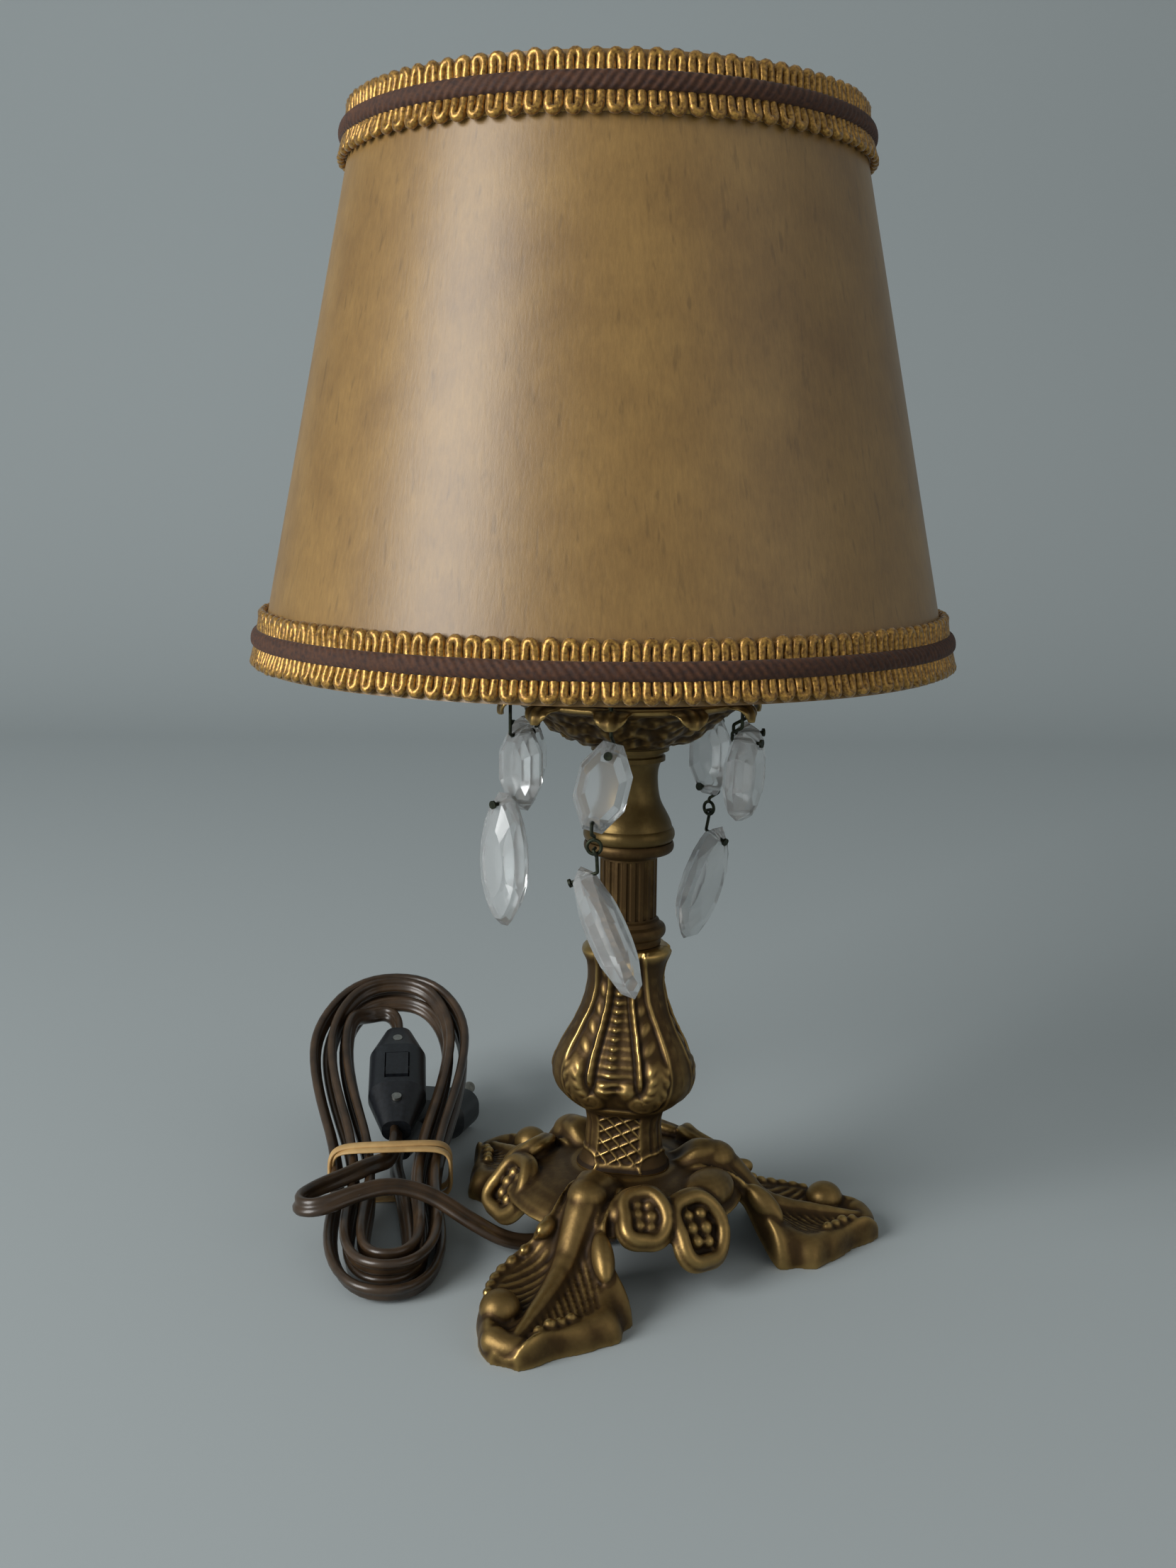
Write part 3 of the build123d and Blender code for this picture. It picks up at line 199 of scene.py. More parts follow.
# %% Aged brass
def aged_brass(name, dark, middle, light, dull, bright):
    finish, tree, surface = new_finish(name)
    place = node(tree, "ShaderNodeTexCoord")
    wear = node(tree, "ShaderNodeAttribute", {"attribute_name": "wear"})
    cloud = node(tree, "ShaderNodeTexNoise", {"Scale": 1 / (6 * MM), "Detail": 5.0, "Roughness": 0.6},
                 {"Vector": place.outputs["Object"]})
    pits = node(tree, "ShaderNodeTexNoise", {"Scale": 1 / (0.8 * MM), "Detail": 3.0},
                {"Vector": place.outputs["Object"]})
    mixed = node(tree, "ShaderNodeMath", {"operation": "MULTIPLY_ADD", 1: 0.55, 2: -0.275},
                 {0: cloud.outputs["Fac"]})
    tone = node(tree, "ShaderNodeMath", {"operation": "ADD"}, {0: mixed.outputs[0], 1: wear.outputs["Fac"]})
    level = node(tree, "ShaderNodeMath", {"operation": "MULTIPLY_ADD", 1: 0.5, 2: 0.5, "use_clamp": True},
                 {0: tone.outputs[0]})
    ramp = node(tree, "ShaderNodeValToRGB", None, {"Fac": level.outputs[0]})
    stops = ramp.color_ramp.elements
    stops[0].position, stops[0].color = 0.15, linear(dark)
    stops[1].position, stops[1].color = 0.95, linear(light)
    stops.new(0.5).color = linear(middle)
    rough = node(tree, "ShaderNodeMapRange", {"To Min": dull, "To Max": bright},
                 {"Value": level.outputs[0]})
    bump = node(tree, "ShaderNodeBump", {"Strength": 0.25, "Distance": 0.15 * MM},
                {"Height": pits.outputs["Fac"]})
    metal = node(tree, "ShaderNodeMapRange", {"To Min": 0.35, "To Max": 1.0}, {"Value": level.outputs[0]})
    surface.inputs["Specular IOR Level"].default_value = 0.2
    tree.links.new(metal.outputs["Result"], surface.inputs["Metallic"])
    tree.links.new(ramp.outputs["Color"], surface.inputs["Base Color"])
    tree.links.new(rough.outputs["Result"], surface.inputs["Roughness"])
    tree.links.new(bump.outputs["Normal"], surface.inputs["Normal"])
    return finish


brass = aged_brass("aged cast brass", "#261A0D", "#4A3820", "#B0925A", 0.66, 0.3)
rubbed_brass = aged_brass("rubbed cast brass", "#2A1D0E", "#62502E", "#BFA468", 0.5, 0.24)
dress(brass, "foot_casting", "baluster", "fluted_column", "drip_pan", "candle_cup")
dress(rubbed_brass, "vase_neck")
print("brass on the stand")


# %% [markdown]
# Swept sections. A section of points is carried along a walk of points without twisting, and leans
# as asked. Routes with few control points are read from a spline, so the walk is smooth. Nearly every
# shape in the file is a grid of points, so one function gives the faces of a grid, open or closed.

# %% Swept sections
def grid_faces(rows, columns, offset=0, wrap=False, closed=False):
    """Faces between the rows of a grid. wrap joins its last column to the first, closed its last row."""
    found = []
    for i in range(rows if closed else rows - 1):
        a, b = offset + i * columns, offset + (i + 1) % rows * columns
        for j in range(columns if wrap else columns - 1):
            n = (j + 1) % columns
            found.append((a + j, a + n, b + n, b + j))
    return found


def read_route(name, points):
    data = bpy.data.curves.new(name, "CURVE")
    data.dimensions = "3D"
    data.resolution_u = 6
    spline = data.splines.new("NURBS")
    spline.points.add(len(points) - 1)
    for spot, point in zip(spline.points, points):
        spot.co = (*from_stem(*point), 1.0)
    spline.order_u = 3
    spline.use_endpoint_u = True
    guide = bpy.data.objects.new(name, data)
    scene.collection.objects.link(guide)
    mesh = bpy.data.meshes.new_from_object(guide)
    walk = [v.co.copy() for v in mesh.vertices]
    bpy.data.objects.remove(guide)
    bpy.data.meshes.remove(mesh)
    return walk


def tangents(walk, closed=False):
    count = len(walk)
    found = []
    for i in range(count):
        before = walk[i - 1] if (i or closed) else walk[i]
        after = walk[(i + 1) % count] if (i + 1 < count or closed) else walk[i]
        found.append((after - before).normalized())
    return found


def sweep_section(walk, section, lean, closed=False, start_up=Vector((0, 0, 1))):
    """Rings of a section along a walk. lean(i) turns the section about the walk."""
    aims = tangents(walk, closed)
    up = (start_up - aims[0] * start_up.dot(aims[0])).normalized()
    verts, width, rings = [], len(section), len(walk)
    for i, (spot, aim) in enumerate(zip(walk, aims)):
        level = Vector((0, 0, 1)) - aim * aim.z
        carried = (up - aim * up.dot(aim)).normalized()
        share = min(1.0, level.length * 1.4)
        up = (carried * (1 - 0.3 * share) + level * 0.3 * share).normalized()
        side = aim.cross(up)
        c, s = math.cos(lean(i)), math.sin(lean(i))
        tall, wide = up * c + side * s, side * c - up * s
        verts += [spot + wide * x + tall * y for x, y in section]
    faces = grid_faces(rings, width, wrap=True, closed=closed)
    if not closed:
        faces += [tuple(reversed(range(width))), tuple(range((rings - 1) * width, rings * width))]
    return verts, faces


print("sweep helpers ready")


# %% [markdown]
# The carved pieces. Each one is a closed mesh whose relief is real geometry. A casting's tone
# follows its relief, so one function measures it: it blurs the surface a little and compares each
# vertex with the blurred place. Standing out means rubbed metal, lying below means patina.

# %% Wear from the relief
def mark_wear(piece, rounds, depth_mm):
    """Blur by some rounds; a height of depth_mm over the blurred place is full wear."""
    mesh = piece.data
    count = len(mesh.vertices)
    place = np.empty(count * 3)
    mesh.vertices.foreach_get("co", place)
    place = place.reshape(-1, 3)
    normal = np.empty(count * 3)
    mesh.vertex_normals.foreach_get("vector", normal)
    normal = normal.reshape(-1, 3)
    ends = np.empty(len(mesh.edges) * 2, dtype=np.int64)
    mesh.edges.foreach_get("vertices", ends)
    first, second = ends[0::2], ends[1::2]
    links = np.bincount(first, minlength=count) + np.bincount(second, minlength=count)
    blurred = place.copy()
    for _ in range(rounds):
        total = blurred.copy()
        for axis in range(3):
            total[:, axis] += np.bincount(first, blurred[second, axis], count)
            total[:, axis] += np.bincount(second, blurred[first, axis], count)
        blurred = total / (links + 1)[:, None]
    rise = ((place - blurred) * normal).sum(axis=1) / (depth_mm * MM)
    wear = mesh.attributes.new("wear", "FLOAT", "POINT")
    wear.data.foreach_set("value", np.clip(rise, -1.0, 1.0).astype(np.float32))
    return rise


def smooth_step(low, high, x):
    """From 0 at low to 1 at high; low may be the larger of the two."""
    t = min(1.0, max(0.0, (x - low) / (high - low)))
    return t * t * (3 - 2 * t)


def bell(x, width):
    return math.exp(-(x / width) ** 2)


print("relief helpers ready")


# %% [markdown]
# The baluster is a rounded triangle in plan, with one face turned to the front. On each face a lyre
# panel is let in between smooth corner bands: two curved ribs, a string of beads between them, a channel
# of small leaves outside each rib, and a broad leaf that curls inwards at the foot of each channel. The
# neck below has a lattice in a plain frame and quarter rings in its lower corners. A grid of heights and
# angles is pushed in or out by the relief at its place on the face, so the carving is geometry and not
# only shading. Rows give a height and a size at it; s runs across a face and z up, in millimetres.

# %% Baluster outline
panel_azimuth = -12.0
stem_bore = 5.2
baluster_low, baluster_high, lattice_top = 25.55, 87.9, 42.6
face_rows = [(25.5, 11.0), (28, 10.0), (32, 9.3), (41, 9.4), (44.5, 13.0), (49, 15.8), (54.5, 16.4),
             (60, 15.0), (66, 12.4), (72, 10.4), (78, 9.3), (83, 9.8), (86.4, 10.9), (88, 9.9)]
corner_rows = [(25.5, 13.8), (28, 12.2), (32, 11.2), (41, 11.5), (44.5, 15.8), (49, 19.6), (54.5, 20.3),
               (60, 18.4), (66, 14.9), (72, 12.0), (78, 10.7), (83, 11.2), (86.4, 12.5), (88, 11.3)]
inner_rib = [(46, 6.6), (50.5, 7.2), (58, 6.6), (64, 5.4), (73, 3.6), (82, 2.9), (88, 2.8)]
panel_edge = [(43, 9.5), (47, 12.8), (53.6, 14.6), (59, 13.6), (66, 10.6), (73.7, 7.4), (82.7, 6.4),
              (88, 6.4)]
bead_line = [(46, -1.4), (56, -1.3), (66, -0.8), (76, -0.3), (88, 0.0)]
curl_line = [(11.6, 59.0), (12.0, 54.0), (11.2, 50.2), (9.2, 47.4), (7.4, 46.4), (6.4, 46.8)]


def flow(rows, z):
    """Curve through rows without flat spots, for a turned outline."""
    for i in range(len(rows) - 1):
        if z <= rows[i + 1][0] or i == len(rows) - 2:
            p0, p1, p2, p3 = rows[max(i - 1, 0)], rows[i], rows[i + 1], rows[min(i + 2, len(rows) - 1)]
            t = min(1.0, max(0.0, (z - p1[0]) / (p2[0] - p1[0])))
            m1 = (p2[1] - p0[1]) / (p2[0] - p0[0]) * (p2[0] - p1[0])
            m2 = (p3[1] - p1[1]) / (p3[0] - p1[0]) * (p2[0] - p1[0])
            return ((2 * t ** 3 - 3 * t * t + 1) * p1[1] + (t ** 3 - 2 * t * t + t) * m1
                    + (3 * t * t - 2 * t ** 3) * p2[1] + (t ** 3 - t * t) * m2)


def triangle_radius(face, corner, angle):
    """Distance to a rounded triangle at an angle from the middle of a face."""
    fillet = 2 * face - corner
    offset = 2 * (face - fillet)
    angle = abs(angle)
    if math.tan(angle) * face < offset * math.sin(math.pi / 3):
        return face / math.cos(angle)
    away = math.pi / 3 - angle
    return offset * math.cos(away) + math.sqrt(fillet ** 2 - (offset * math.sin(away)) ** 2)


def beside(line, x, y):
    """Distance from a line of points, and the travel along it to the nearest place."""
    best, travel, run = 1e9, 0.0, 0.0
    for (xa, ya), (xb, yb) in zip(line, line[1:]):
        length = math.hypot(xb - xa, yb - ya)
        t = min(1.0, max(0.0, ((x - xa) * (xb - xa) + (y - ya) * (yb - ya)) / length ** 2))
        away = math.hypot(x - xa - t * (xb - xa), y - ya - t * (yb - ya))
        if away < best:
            best, travel = away, run + t * length
        run += length
    return best, travel


print("baluster outline of", len(face_rows), "rows")


# %% Baluster relief
lattice_pitch, lattice_slopes, corner_ring = 2.9, (0.5, -1.0), 4.2
bead_pitch, channel_pitch, vein_pitch = 2.3, 5.0, 3.1


def lattice_relief(s, z, half):
    """Neck: a sunk lattice, a plain frame at each side and quarter rings in the lower corners."""
    a = abs(s)
    inside = smooth_step(half - 3.6, half - 4.2, a) * smooth_step(27.4, 28.2, z)
    inside *= smooth_step(41.4, 40.8, z)
    lines = 0.0
    for slope in lattice_slopes:
        across = (z - slope * s) / math.sqrt(1 + slope * slope)
        lines = max(lines, bell((across + lattice_pitch / 2) % lattice_pitch - lattice_pitch / 2, 0.34))
    corner = math.hypot(a - half + 1.0, z - 26.2)
    ring = bell(corner - corner_ring, 0.4)
    shell = smooth_step(corner_ring, 3.7, corner)
    ground = (1 - shell) * inside * (0.68 * lines - 0.72)
    border = -0.35 * bell(a - half + 0.9, 0.45) * smooth_step(29.5, 31.0, z) * smooth_step(41.5, 40.5, z)
    return ground + 0.4 * ring * smooth_step(25.8, 26.4, z) + border


def lyre_relief(s, z):
    """Panel on the bulge: channels, ribs, bead string and the two curled leaves."""
    edge, rib = flow(panel_edge, z), flow(inner_rib, z)
    a = abs(s)
    inside = smooth_step(edge + 0.3, edge - 0.4, a) * smooth_step(43.4, 44.6, z)
    inside *= smooth_step(88.2, 86.6, z)
    height = -1.1
    if a < rib:
        centre = flow(bead_line, z)
        beads = 0.5 + 0.5 * math.cos(2 * math.pi * z / bead_pitch)
        spread = 1.15 + 1.5 * smooth_step(60, 50, z)
        height += (0.5 + 0.6 * beads) * bell(s - centre, spread) * smooth_step(49, 51, z)
        height += 0.16 * beads * smooth_step(50, 53, z)
    else:
        leaves = 0.5 + 0.5 * math.cos(2 * math.pi * (z - 0.7 * (a - rib)) / channel_pitch)
        middle = (edge + rib) / 2
        height += (0.2 + 0.5 * leaves) * bell(a - middle, 0.36 * (edge - rib))
    height += 1.45 * bell(a - rib, 0.7) * smooth_step(50.5, 54.0, z)
    height -= 0.35 * bell(a - rib + 1.2, 0.5) * smooth_step(50.0, 53.0, z)
    away, travel = beside(curl_line, a, z)
    leaf = smooth_step(3.6, 1.9, away) * smooth_step(61.0, 56.0, z)
    veins = 0.13 * math.cos(2 * math.pi * (travel - 0.9 * away) / vein_pitch)
    veins *= smooth_step(0.2, 1.4, away)
    height = height * (1 - leaf) + leaf * (0.5 + veins - 0.05 * away)
    bump = smooth_step(3.4, 0.6, math.hypot(a - 3.5, (z - 50.6) * 0.85)) * (1 - leaf)
    return inside * (height + 1.5 * bump) + 0.3 * bell(a - edge - 0.2, 0.5) * smooth_step(44, 46, z)


print("relief of the panel spans z %d to %d mm" % (panel_edge[0][0], panel_edge[-1][0]))


# %% Baluster mesh
def baluster_mesh():
    rows, steps = 191, 330
    levels = [baluster_low + (baluster_high - baluster_low) * i / (rows - 1) for i in range(rows)]
    verts = []
    for z in levels:
        face, corner = flow(face_rows, z), flow(corner_rows, z)
        half = corner * math.sin(math.pi / 3)
        for j in range(steps):
            azimuth = math.radians(360 * j / steps)
            local = math.radians((360 * j / steps - panel_azimuth + 60) % 120 - 60)
            radius = triangle_radius(face, corner, local)
            s = radius * math.sin(local)
            push = lattice_relief(s, z, half) if z < lattice_top else lyre_relief(s, z)
            push += 0.1 * noise.noise(Vector((s, z, radius)) * 0.35)
            radius = (radius + push) * MM
            verts.append((stem_x + radius * math.sin(azimuth), -radius * math.cos(azimuth), z * MM))
    bore = stem_bore * MM
    faces = grid_faces(rows, steps, wrap=True)
    for z in (levels[0], levels[-1]):
        verts += [(stem_x + bore * math.sin(a), -bore * math.cos(a), z * MM) for a in angles_round(steps)]
    low, high = rows * steps, rows * steps + steps
    for j in range(steps):
        n = (j + 1) % steps
        faces.append((j, low + j, low + n, n))
        faces.append(((rows - 1) * steps + j, (rows - 1) * steps + n, high + n, high + j))
        faces.append((low + j, high + j, high + n, low + n))
    return verts, faces


verts, faces = baluster_mesh()
baluster = make_piece("baluster_carved", verts, faces, "lamp_stand", brass)
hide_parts("baluster")
rise = mark_wear(baluster, 12, 0.3)
print("baluster", len(verts), "points, relief from %.2f to %.2f" % (rise.min(), rise.max()))


# %% [markdown]
# The foot is one casting: three leaf legs round a hub, with two shell cartouches between each pair of legs.
# It is put together from closed shapes that reach into each other, as a sculptor adds clay: a leaf shell
# with its midrib and veins, beads along the left edge, a ball and a rolled toe, then the hub and the
# rimmed cartouches with their beads. A voxel remesh fuses them into one skin, as the casting is.
# Along a leg u runs outwards and w across; the right side of a leaf is lower and tapers sooner. The leg
# table gives, for each u, the heights of rib, hollow and edge, the half widths of edge and skirt, and the
# height at which the skirt ends.

# %% Leaf of the casting
leaf_start, leaf_end = 11.6, 72.7
leg_table = [
    (9, 26, 25.2, 22.5, 5, 6, 17.5), (15, 28.6, 27.4, 24.4, 6.2, 7.2, 18.6),
    (21, 30, 28.2, 25, 6.8, 7.8, 19.4), (27, 28.2, 26.4, 23.6, 7, 8, 17.6),
    (32, 23.8, 22, 20.5, 7.6, 8.8, 14), (36, 18.8, 16.8, 15.6, 9.6, 12.6, 6),
    (40, 13.8, 11.8, 11.2, 13.2, 18.8, 0), (46, 11, 8.6, 8.8, 15.6, 19, 0),
    (53, 9.6, 7, 7.8, 15, 17.8, 0), (60, 8.4, 6.2, 7.2, 12.6, 14.8, 0),
    (66, 7.6, 5.9, 7, 9.6, 11.4, 0), (70, 7.3, 5.9, 7, 7.4, 8.8, 0),
    (72.8, 6.2, 5.4, 5.8, 5.2, 6.2, 0),
]
leg_columns = [[(row[0], row[k]) for row in leg_table] for k in range(1, 7)]
rib_width = [(14, 5.6), (24, 4.8), (32, 3.9), (42, 2.9), (56, 2.0), (66, 1.2), (73, 0.7)]
rib_height = [(14, 1.0), (24, 1.8), (34, 2.4), (50, 2.0), (62, 1.2), (70, 0.4)]
right_width = [(14, 1.0), (40, 1.0), (51, 1.06), (56, 0.98), (60, 0.85), (64, 0.74), (68, 0.68), (73, 0.7)]


def leaf_height(u, w, p, base):
    """Height of the leaf's upper face with its midrib, curved veins and the pleats of the shoulder."""
    width = flow(rib_width, u)
    rib = flow(rib_height, u) * math.sqrt(max(0.0, 1 - (w / width) ** 2))
    pitch = 2.9 if w > 0 else 3.8
    vein = u - 0.85 * abs(w) - 0.03 * w * w
    blade = smooth_step(width, width + 1.4, abs(w)) * smooth_step(34, 39, u) * smooth_step(69, 64, u)
    furrow = bell((vein + pitch / 2) % pitch - pitch / 2, 0.24 * pitch) * blade * smooth_step(1.0, 0.84, p)
    upper = smooth_step(width, width + 1.0, abs(w)) * smooth_step(16, 20, u) * smooth_step(37, 33, u)
    pleat = bell((0.55 * u + abs(w) + 1.3) % 2.6 - 1.3, 0.55) * upper
    hollow = bell(abs(w) - width - 1.2, 1.5) * smooth_step(20, 25, u) * smooth_step(42, 35, u)
    ground = 0.16 * noise.noise(Vector((u, w, 3)) * 0.5)
    return base + rib - 0.95 * furrow - 0.35 * pleat - 1.5 * hollow + ground


def leaf_section(u, t):
    """Outer and inner place on the leaf. t runs from the left skirt over the rib to the right one."""
    rib_z, hollow_z, edge_z, edge, skirt, skirt_z = [flow(column, u) for column in leg_columns]
    blade_share = 0.7
    side, p, skirt_z = (-1 if t < 0 else 1), abs(t) / blade_share, max(0.0, skirt_z)
    nose_start, nose_length = 65.5, 7.4
    ramp = smooth_step(21, 11, u)
    nose = math.sqrt(max(0.0, 1 - (max(0.0, u - nose_start) / nose_length) ** 2))
    rib_z, hollow_z = [(z - (z - 24.4) * ramp) * (0.3 + 0.7 * nose) for z in (rib_z, hollow_z)]
    edge_z = (edge_z - (edge_z - 22.8) * ramp) * (0.2 + 0.8 * nose)
    lobes = 0.012 if side < 0 else 0.03
    scale = (1 + lobes * math.sin(u * 2 * math.pi / 9.5) * smooth_step(36, 42, u)) * (0.6 + 0.4 * nose)
    if side > 0:
        scale *= flow(right_width, u)
        edge_z -= 1.3 * smooth_step(40, 48, u) * smooth_step(68, 60, u)
    skirt = max(skirt, edge + 0.6) * scale
    edge, top = edge * scale * (1 - 0.14 * smooth_step(38, 44, u)), edge_z + 0.9
    if p <= 1:
        base = hollow_z + (rib_z - 1.2 - hollow_z) * smooth_step(0.5, 0.0, p)
        base += (top - hollow_z) * smooth_step(0.5, 0.95, p)
        w = side * edge * p
        z = leaf_height(u, w, p, base)
        return (w, z), (side * max(0.0, abs(w) - 2.0 * p), min(z, hollow_z + 1.2) - 2.3)
    q = (abs(t) - blade_share) / 0.3 * math.pi / 2
    w = side * (edge + (skirt - edge) * math.sin(q))
    z = skirt_z + (top - skirt_z) * math.cos(q)
    under = skirt_z + max(0.0, hollow_z - 1.1 - skirt_z) * math.cos(q)
    return (w, z), (side * (abs(w) - 2.2), min(z, under))


def leaf_shell(steps_u=190, steps_t=161):
    outer, inner = [], []
    for i in range(steps_u):
        u = leaf_start + (leaf_end - leaf_start) * i / (steps_u - 1)
        for j in range(steps_t):
            (w, z), (w_in, z_in) = leaf_section(u, -1 + 2 * j / (steps_t - 1))
            outer.append((w, u, max(z, 0.0)))
            inner.append((w_in, min(u, 72.3), max(min(z_in, z), 0.0) * smooth_step(68, 62, u)))
    return closed_sheet(outer, inner, steps_u, steps_t)


def closed_sheet(outer, inner, rows, columns):
    """Two grids of the same size, one under the other, joined round their rims."""
    count = rows * columns
    faces = grid_faces(rows, columns) + [tuple(reversed(f)) for f in grid_faces(rows, columns, count)]
    rim = list(range(columns)) + [i * columns + columns - 1 for i in range(1, rows)]
    rim += [(rows - 1) * columns + j for j in range(columns - 2, -1, -1)]
    rim += [i * columns for i in range(rows - 2, 0, -1)]
    faces += [(b, a, a + count, b + count) for a, b in zip(rim, rim[1:] + rim[:1])]
    return outer + inner, faces


print("leaf from u %.1f to %.1f mm" % (leaf_start, leaf_end))


# %% Beads, rims and one leg
def ball(centre, radii, axis_turn=0.0, rings=12, sectors=20):
    verts = []
    c, s = math.cos(axis_turn), math.sin(axis_turn)
    for i in range(rings + 1):
        a = math.pi * i / rings
        z = centre[2] + radii[2] * math.cos(a)
        for b in angles_round(sectors):
            x, y = radii[0] * math.sin(a) * math.cos(b), radii[1] * math.sin(a) * math.sin(b)
            verts.append((centre[0] + x * c - y * s, centre[1] + x * s + y * c, z))
    return verts, [tuple(reversed(f)) for f in grid_faces(rings + 1, sectors, wrap=True)]


def round_ball(centre, radius):
    return ball(centre, (radius, radius, radius))


def tube_loop(points, radius, sides=14):
    section = [(radius * math.cos(a), radius * math.sin(a)) for a in angles_round(sides)]
    return sweep_section([Vector(p) for p in points], section, lambda i: 0.0, True)


def leg_shapes():
    """A leaf with its edge beads, ball and rolled toe, wing lobe, shoulder lobes and bead cluster."""
    shapes = [leaf_shell()]
    beads_from, beads_to = 33.0, 55.0
    u = beads_from
    while u < beads_to:
        edge, edge_z = flow(leg_columns[3], u), flow(leg_columns[2], u)
        size = 1.25 + 0.35 * math.sin((u - beads_from) / (beads_to - beads_from) * math.pi)
        shapes.append(ball((-edge + 0.1, u, edge_z + 0.5), (size, size * 1.3, size)))
        u += 2.1 * size
    shapes += [ball((-8.6, 59.4, 7.4), (5.2, 5.4, 4.8)), round_ball((-8.0, 65.0, 4.6), 2.8)]
    for k in range(9):
        w = -5.4 + 0.8 * k
        shapes.append(round_ball((w, 69.0 - 0.05 * (w + 1.4) ** 2, 3.8 - 0.05 * k), 3.7 - 0.06 * k))
    for k in range(25):
        size = 1.4 + 1.6 * math.sin(math.pi * k / 24) ** 0.7
        spot = (12.4 - 0.2 * k, 41.0 - 0.28 * k, 11.4 + 0.29 * k)
        shapes.append(ball(spot, (size, 1.15 * size, 1.1 * size), -0.3))
    shapes += [ball((-7.4, 34.2, 18.2), (2.2, 4.2, 2.6), 0.25), ball((0, 25.0, 24.5), (5.5, 6.5, 5.2))]
    cluster = ((6.0, 61.0, 7.2, 1.7), (7.8, 58.6, 7.0, 1.5), (4.6, 64.2, 6.8, 1.5), (9.4, 56.0, 7.2, 1.5))
    shapes += [round_ball((w, u, z), size) for w, u, z, size in cluster]
    return shapes


one_leg = leg_shapes()
print("one leg of", len(one_leg), "shapes")


# %% Cartouches and hub
def cartouche_shapes(half, radius, z, tilt, yaw=0.0):
    lean, face = math.radians(tilt), Matrix.Rotation(math.radians(yaw), 3, "Z")
    across = face @ Vector((1, 0, 0))
    up = face @ Vector((0, -math.sin(lean), math.cos(lean)))
    out = face @ Vector((0, math.cos(lean), math.sin(lean)))
    sides, squareness = 48, 2.7
    spin = angles_round(sides)
    square = [(abs(math.cos(a)) ** squareness + abs(math.sin(a)) ** squareness) ** (-1 / squareness)
              for a in spin]
    wave = [k * (1 + 0.04 * math.cos(3 * a + 0.6) + 0.03 * math.cos(5 * a)) for a, k in zip(spin, square)]

    def at(x, y, height):
        return Vector((0, radius, z)) + across * x + up * y + out * height

    def ring(inset, lift, height):
        return [at((half[0] - inset) * k * math.cos(a), (half[1] - inset) * k * math.sin(a),
                   height + lift * math.sin(2 * a + 0.5)) for a, k in zip(spin, wave)]

    levels = ((0.98, -4.4), (0.06, -4.4), (0.0, -3.6), (0.0, -0.8), (0.3, -1.6), (0.98, -1.9))
    rings = [ring(share * min(half), 0.0, height) for share, height in levels]
    verts = [tuple(v) for loop in rings for v in loop]
    ends = [tuple(range(sides)), tuple(range(5 * sides, 6 * sides))]
    shapes = [(verts, grid_faces(len(rings), sides, wrap=True) + ends)]
    shapes += [tube_loop(ring(1.5, 0.7, -0.7), 1.9), tube_loop(ring(0.3, 0.5, -1.9), 1.5)]
    for x, y, size in ((-0.24, 0.42, 1.7), (0.24, 0.38, 1.9), (-0.26, 0.08, 2.0), (0.25, 0.0, 2.1),
                       (-0.22, -0.28, 1.9), (0.2, -0.36, 1.8)):
        shapes.append(round_ball(at(half[0] * x, half[1] * y, -1.5), size))
    return shapes


def hub_shape(sides=120):
    profile = [(stem_bore, 18.5), (stem_bore, 25.4), (13.4, 25.4), (14.4, 25.2), (15.6, 24.7), (17.6, 24.5),
               (20.0, 24.2), (23.0, 23.6), (26.0, 22.8), (29.0, 21.3), (31.0, 19.9), (33.0, 17.4),
               (30.6, 16.2), (28.0, 18.4), (23.0, 20.6), (17.0, 20.2), (15.0, 18.5)]
    verts = [(r * math.sin(a), r * math.cos(a), z) for r, z in profile for a in angles_round(sides)]
    return verts, grid_faces(len(profile), sides, wrap=True, closed=True)


def turned_to(azimuth, shapes, hand=1):
    """Swing shapes made along +u to an azimuth about the stem; hand -1 mirrors them first."""
    a = math.radians(azimuth)
    c, s = math.cos(a), math.sin(a)
    return [([(s * u + c * w * hand, s * w * hand - c * u, z) for w, u, z in verts], faces)
            for verts, faces in shapes]


print("cartouche and hub shapes ready")


# %% Fuse the casting
def joined(shapes):
    verts, faces = [], []
    for part_verts, part_faces in shapes:
        start = len(verts)
        verts += list(part_verts)
        faces += [tuple(start + k for k in face) for face in part_faces]
    return verts, faces


def fused(name, shapes, voxel_mm, rounds):
    """One skin round closed shapes that overlap, settled by some rounds of smoothing."""
    verts, faces = joined(shapes)
    mesh = bpy.data.meshes.new(name)
    mesh.from_pydata([from_stem(x, y, max(z, 0.0)) for x, y, z in verts], [], faces)
    clay = bmesh.new()
    clay.from_mesh(mesh)
    bmesh.ops.recalc_face_normals(clay, faces=clay.faces)
    clay.to_mesh(mesh)
    clay.free()
    rough = bpy.data.objects.new(name, mesh)
    scene.collection.objects.link(rough)
    skin = rough.modifiers.new("skin", "REMESH")
    skin.mode = "VOXEL"
    skin.voxel_size = voxel_mm * MM
    settle = rough.modifiers.new("settle", "SMOOTH")
    settle.factor, settle.iterations = 0.5, rounds
    made = bpy.data.meshes.new_from_object(rough.evaluated_get(bpy.context.evaluated_depsgraph_get()))
    result = [tuple(v.co) for v in made.vertices], [tuple(p.vertices) for p in made.polygons]
    bpy.data.objects.remove(rough)
    return result


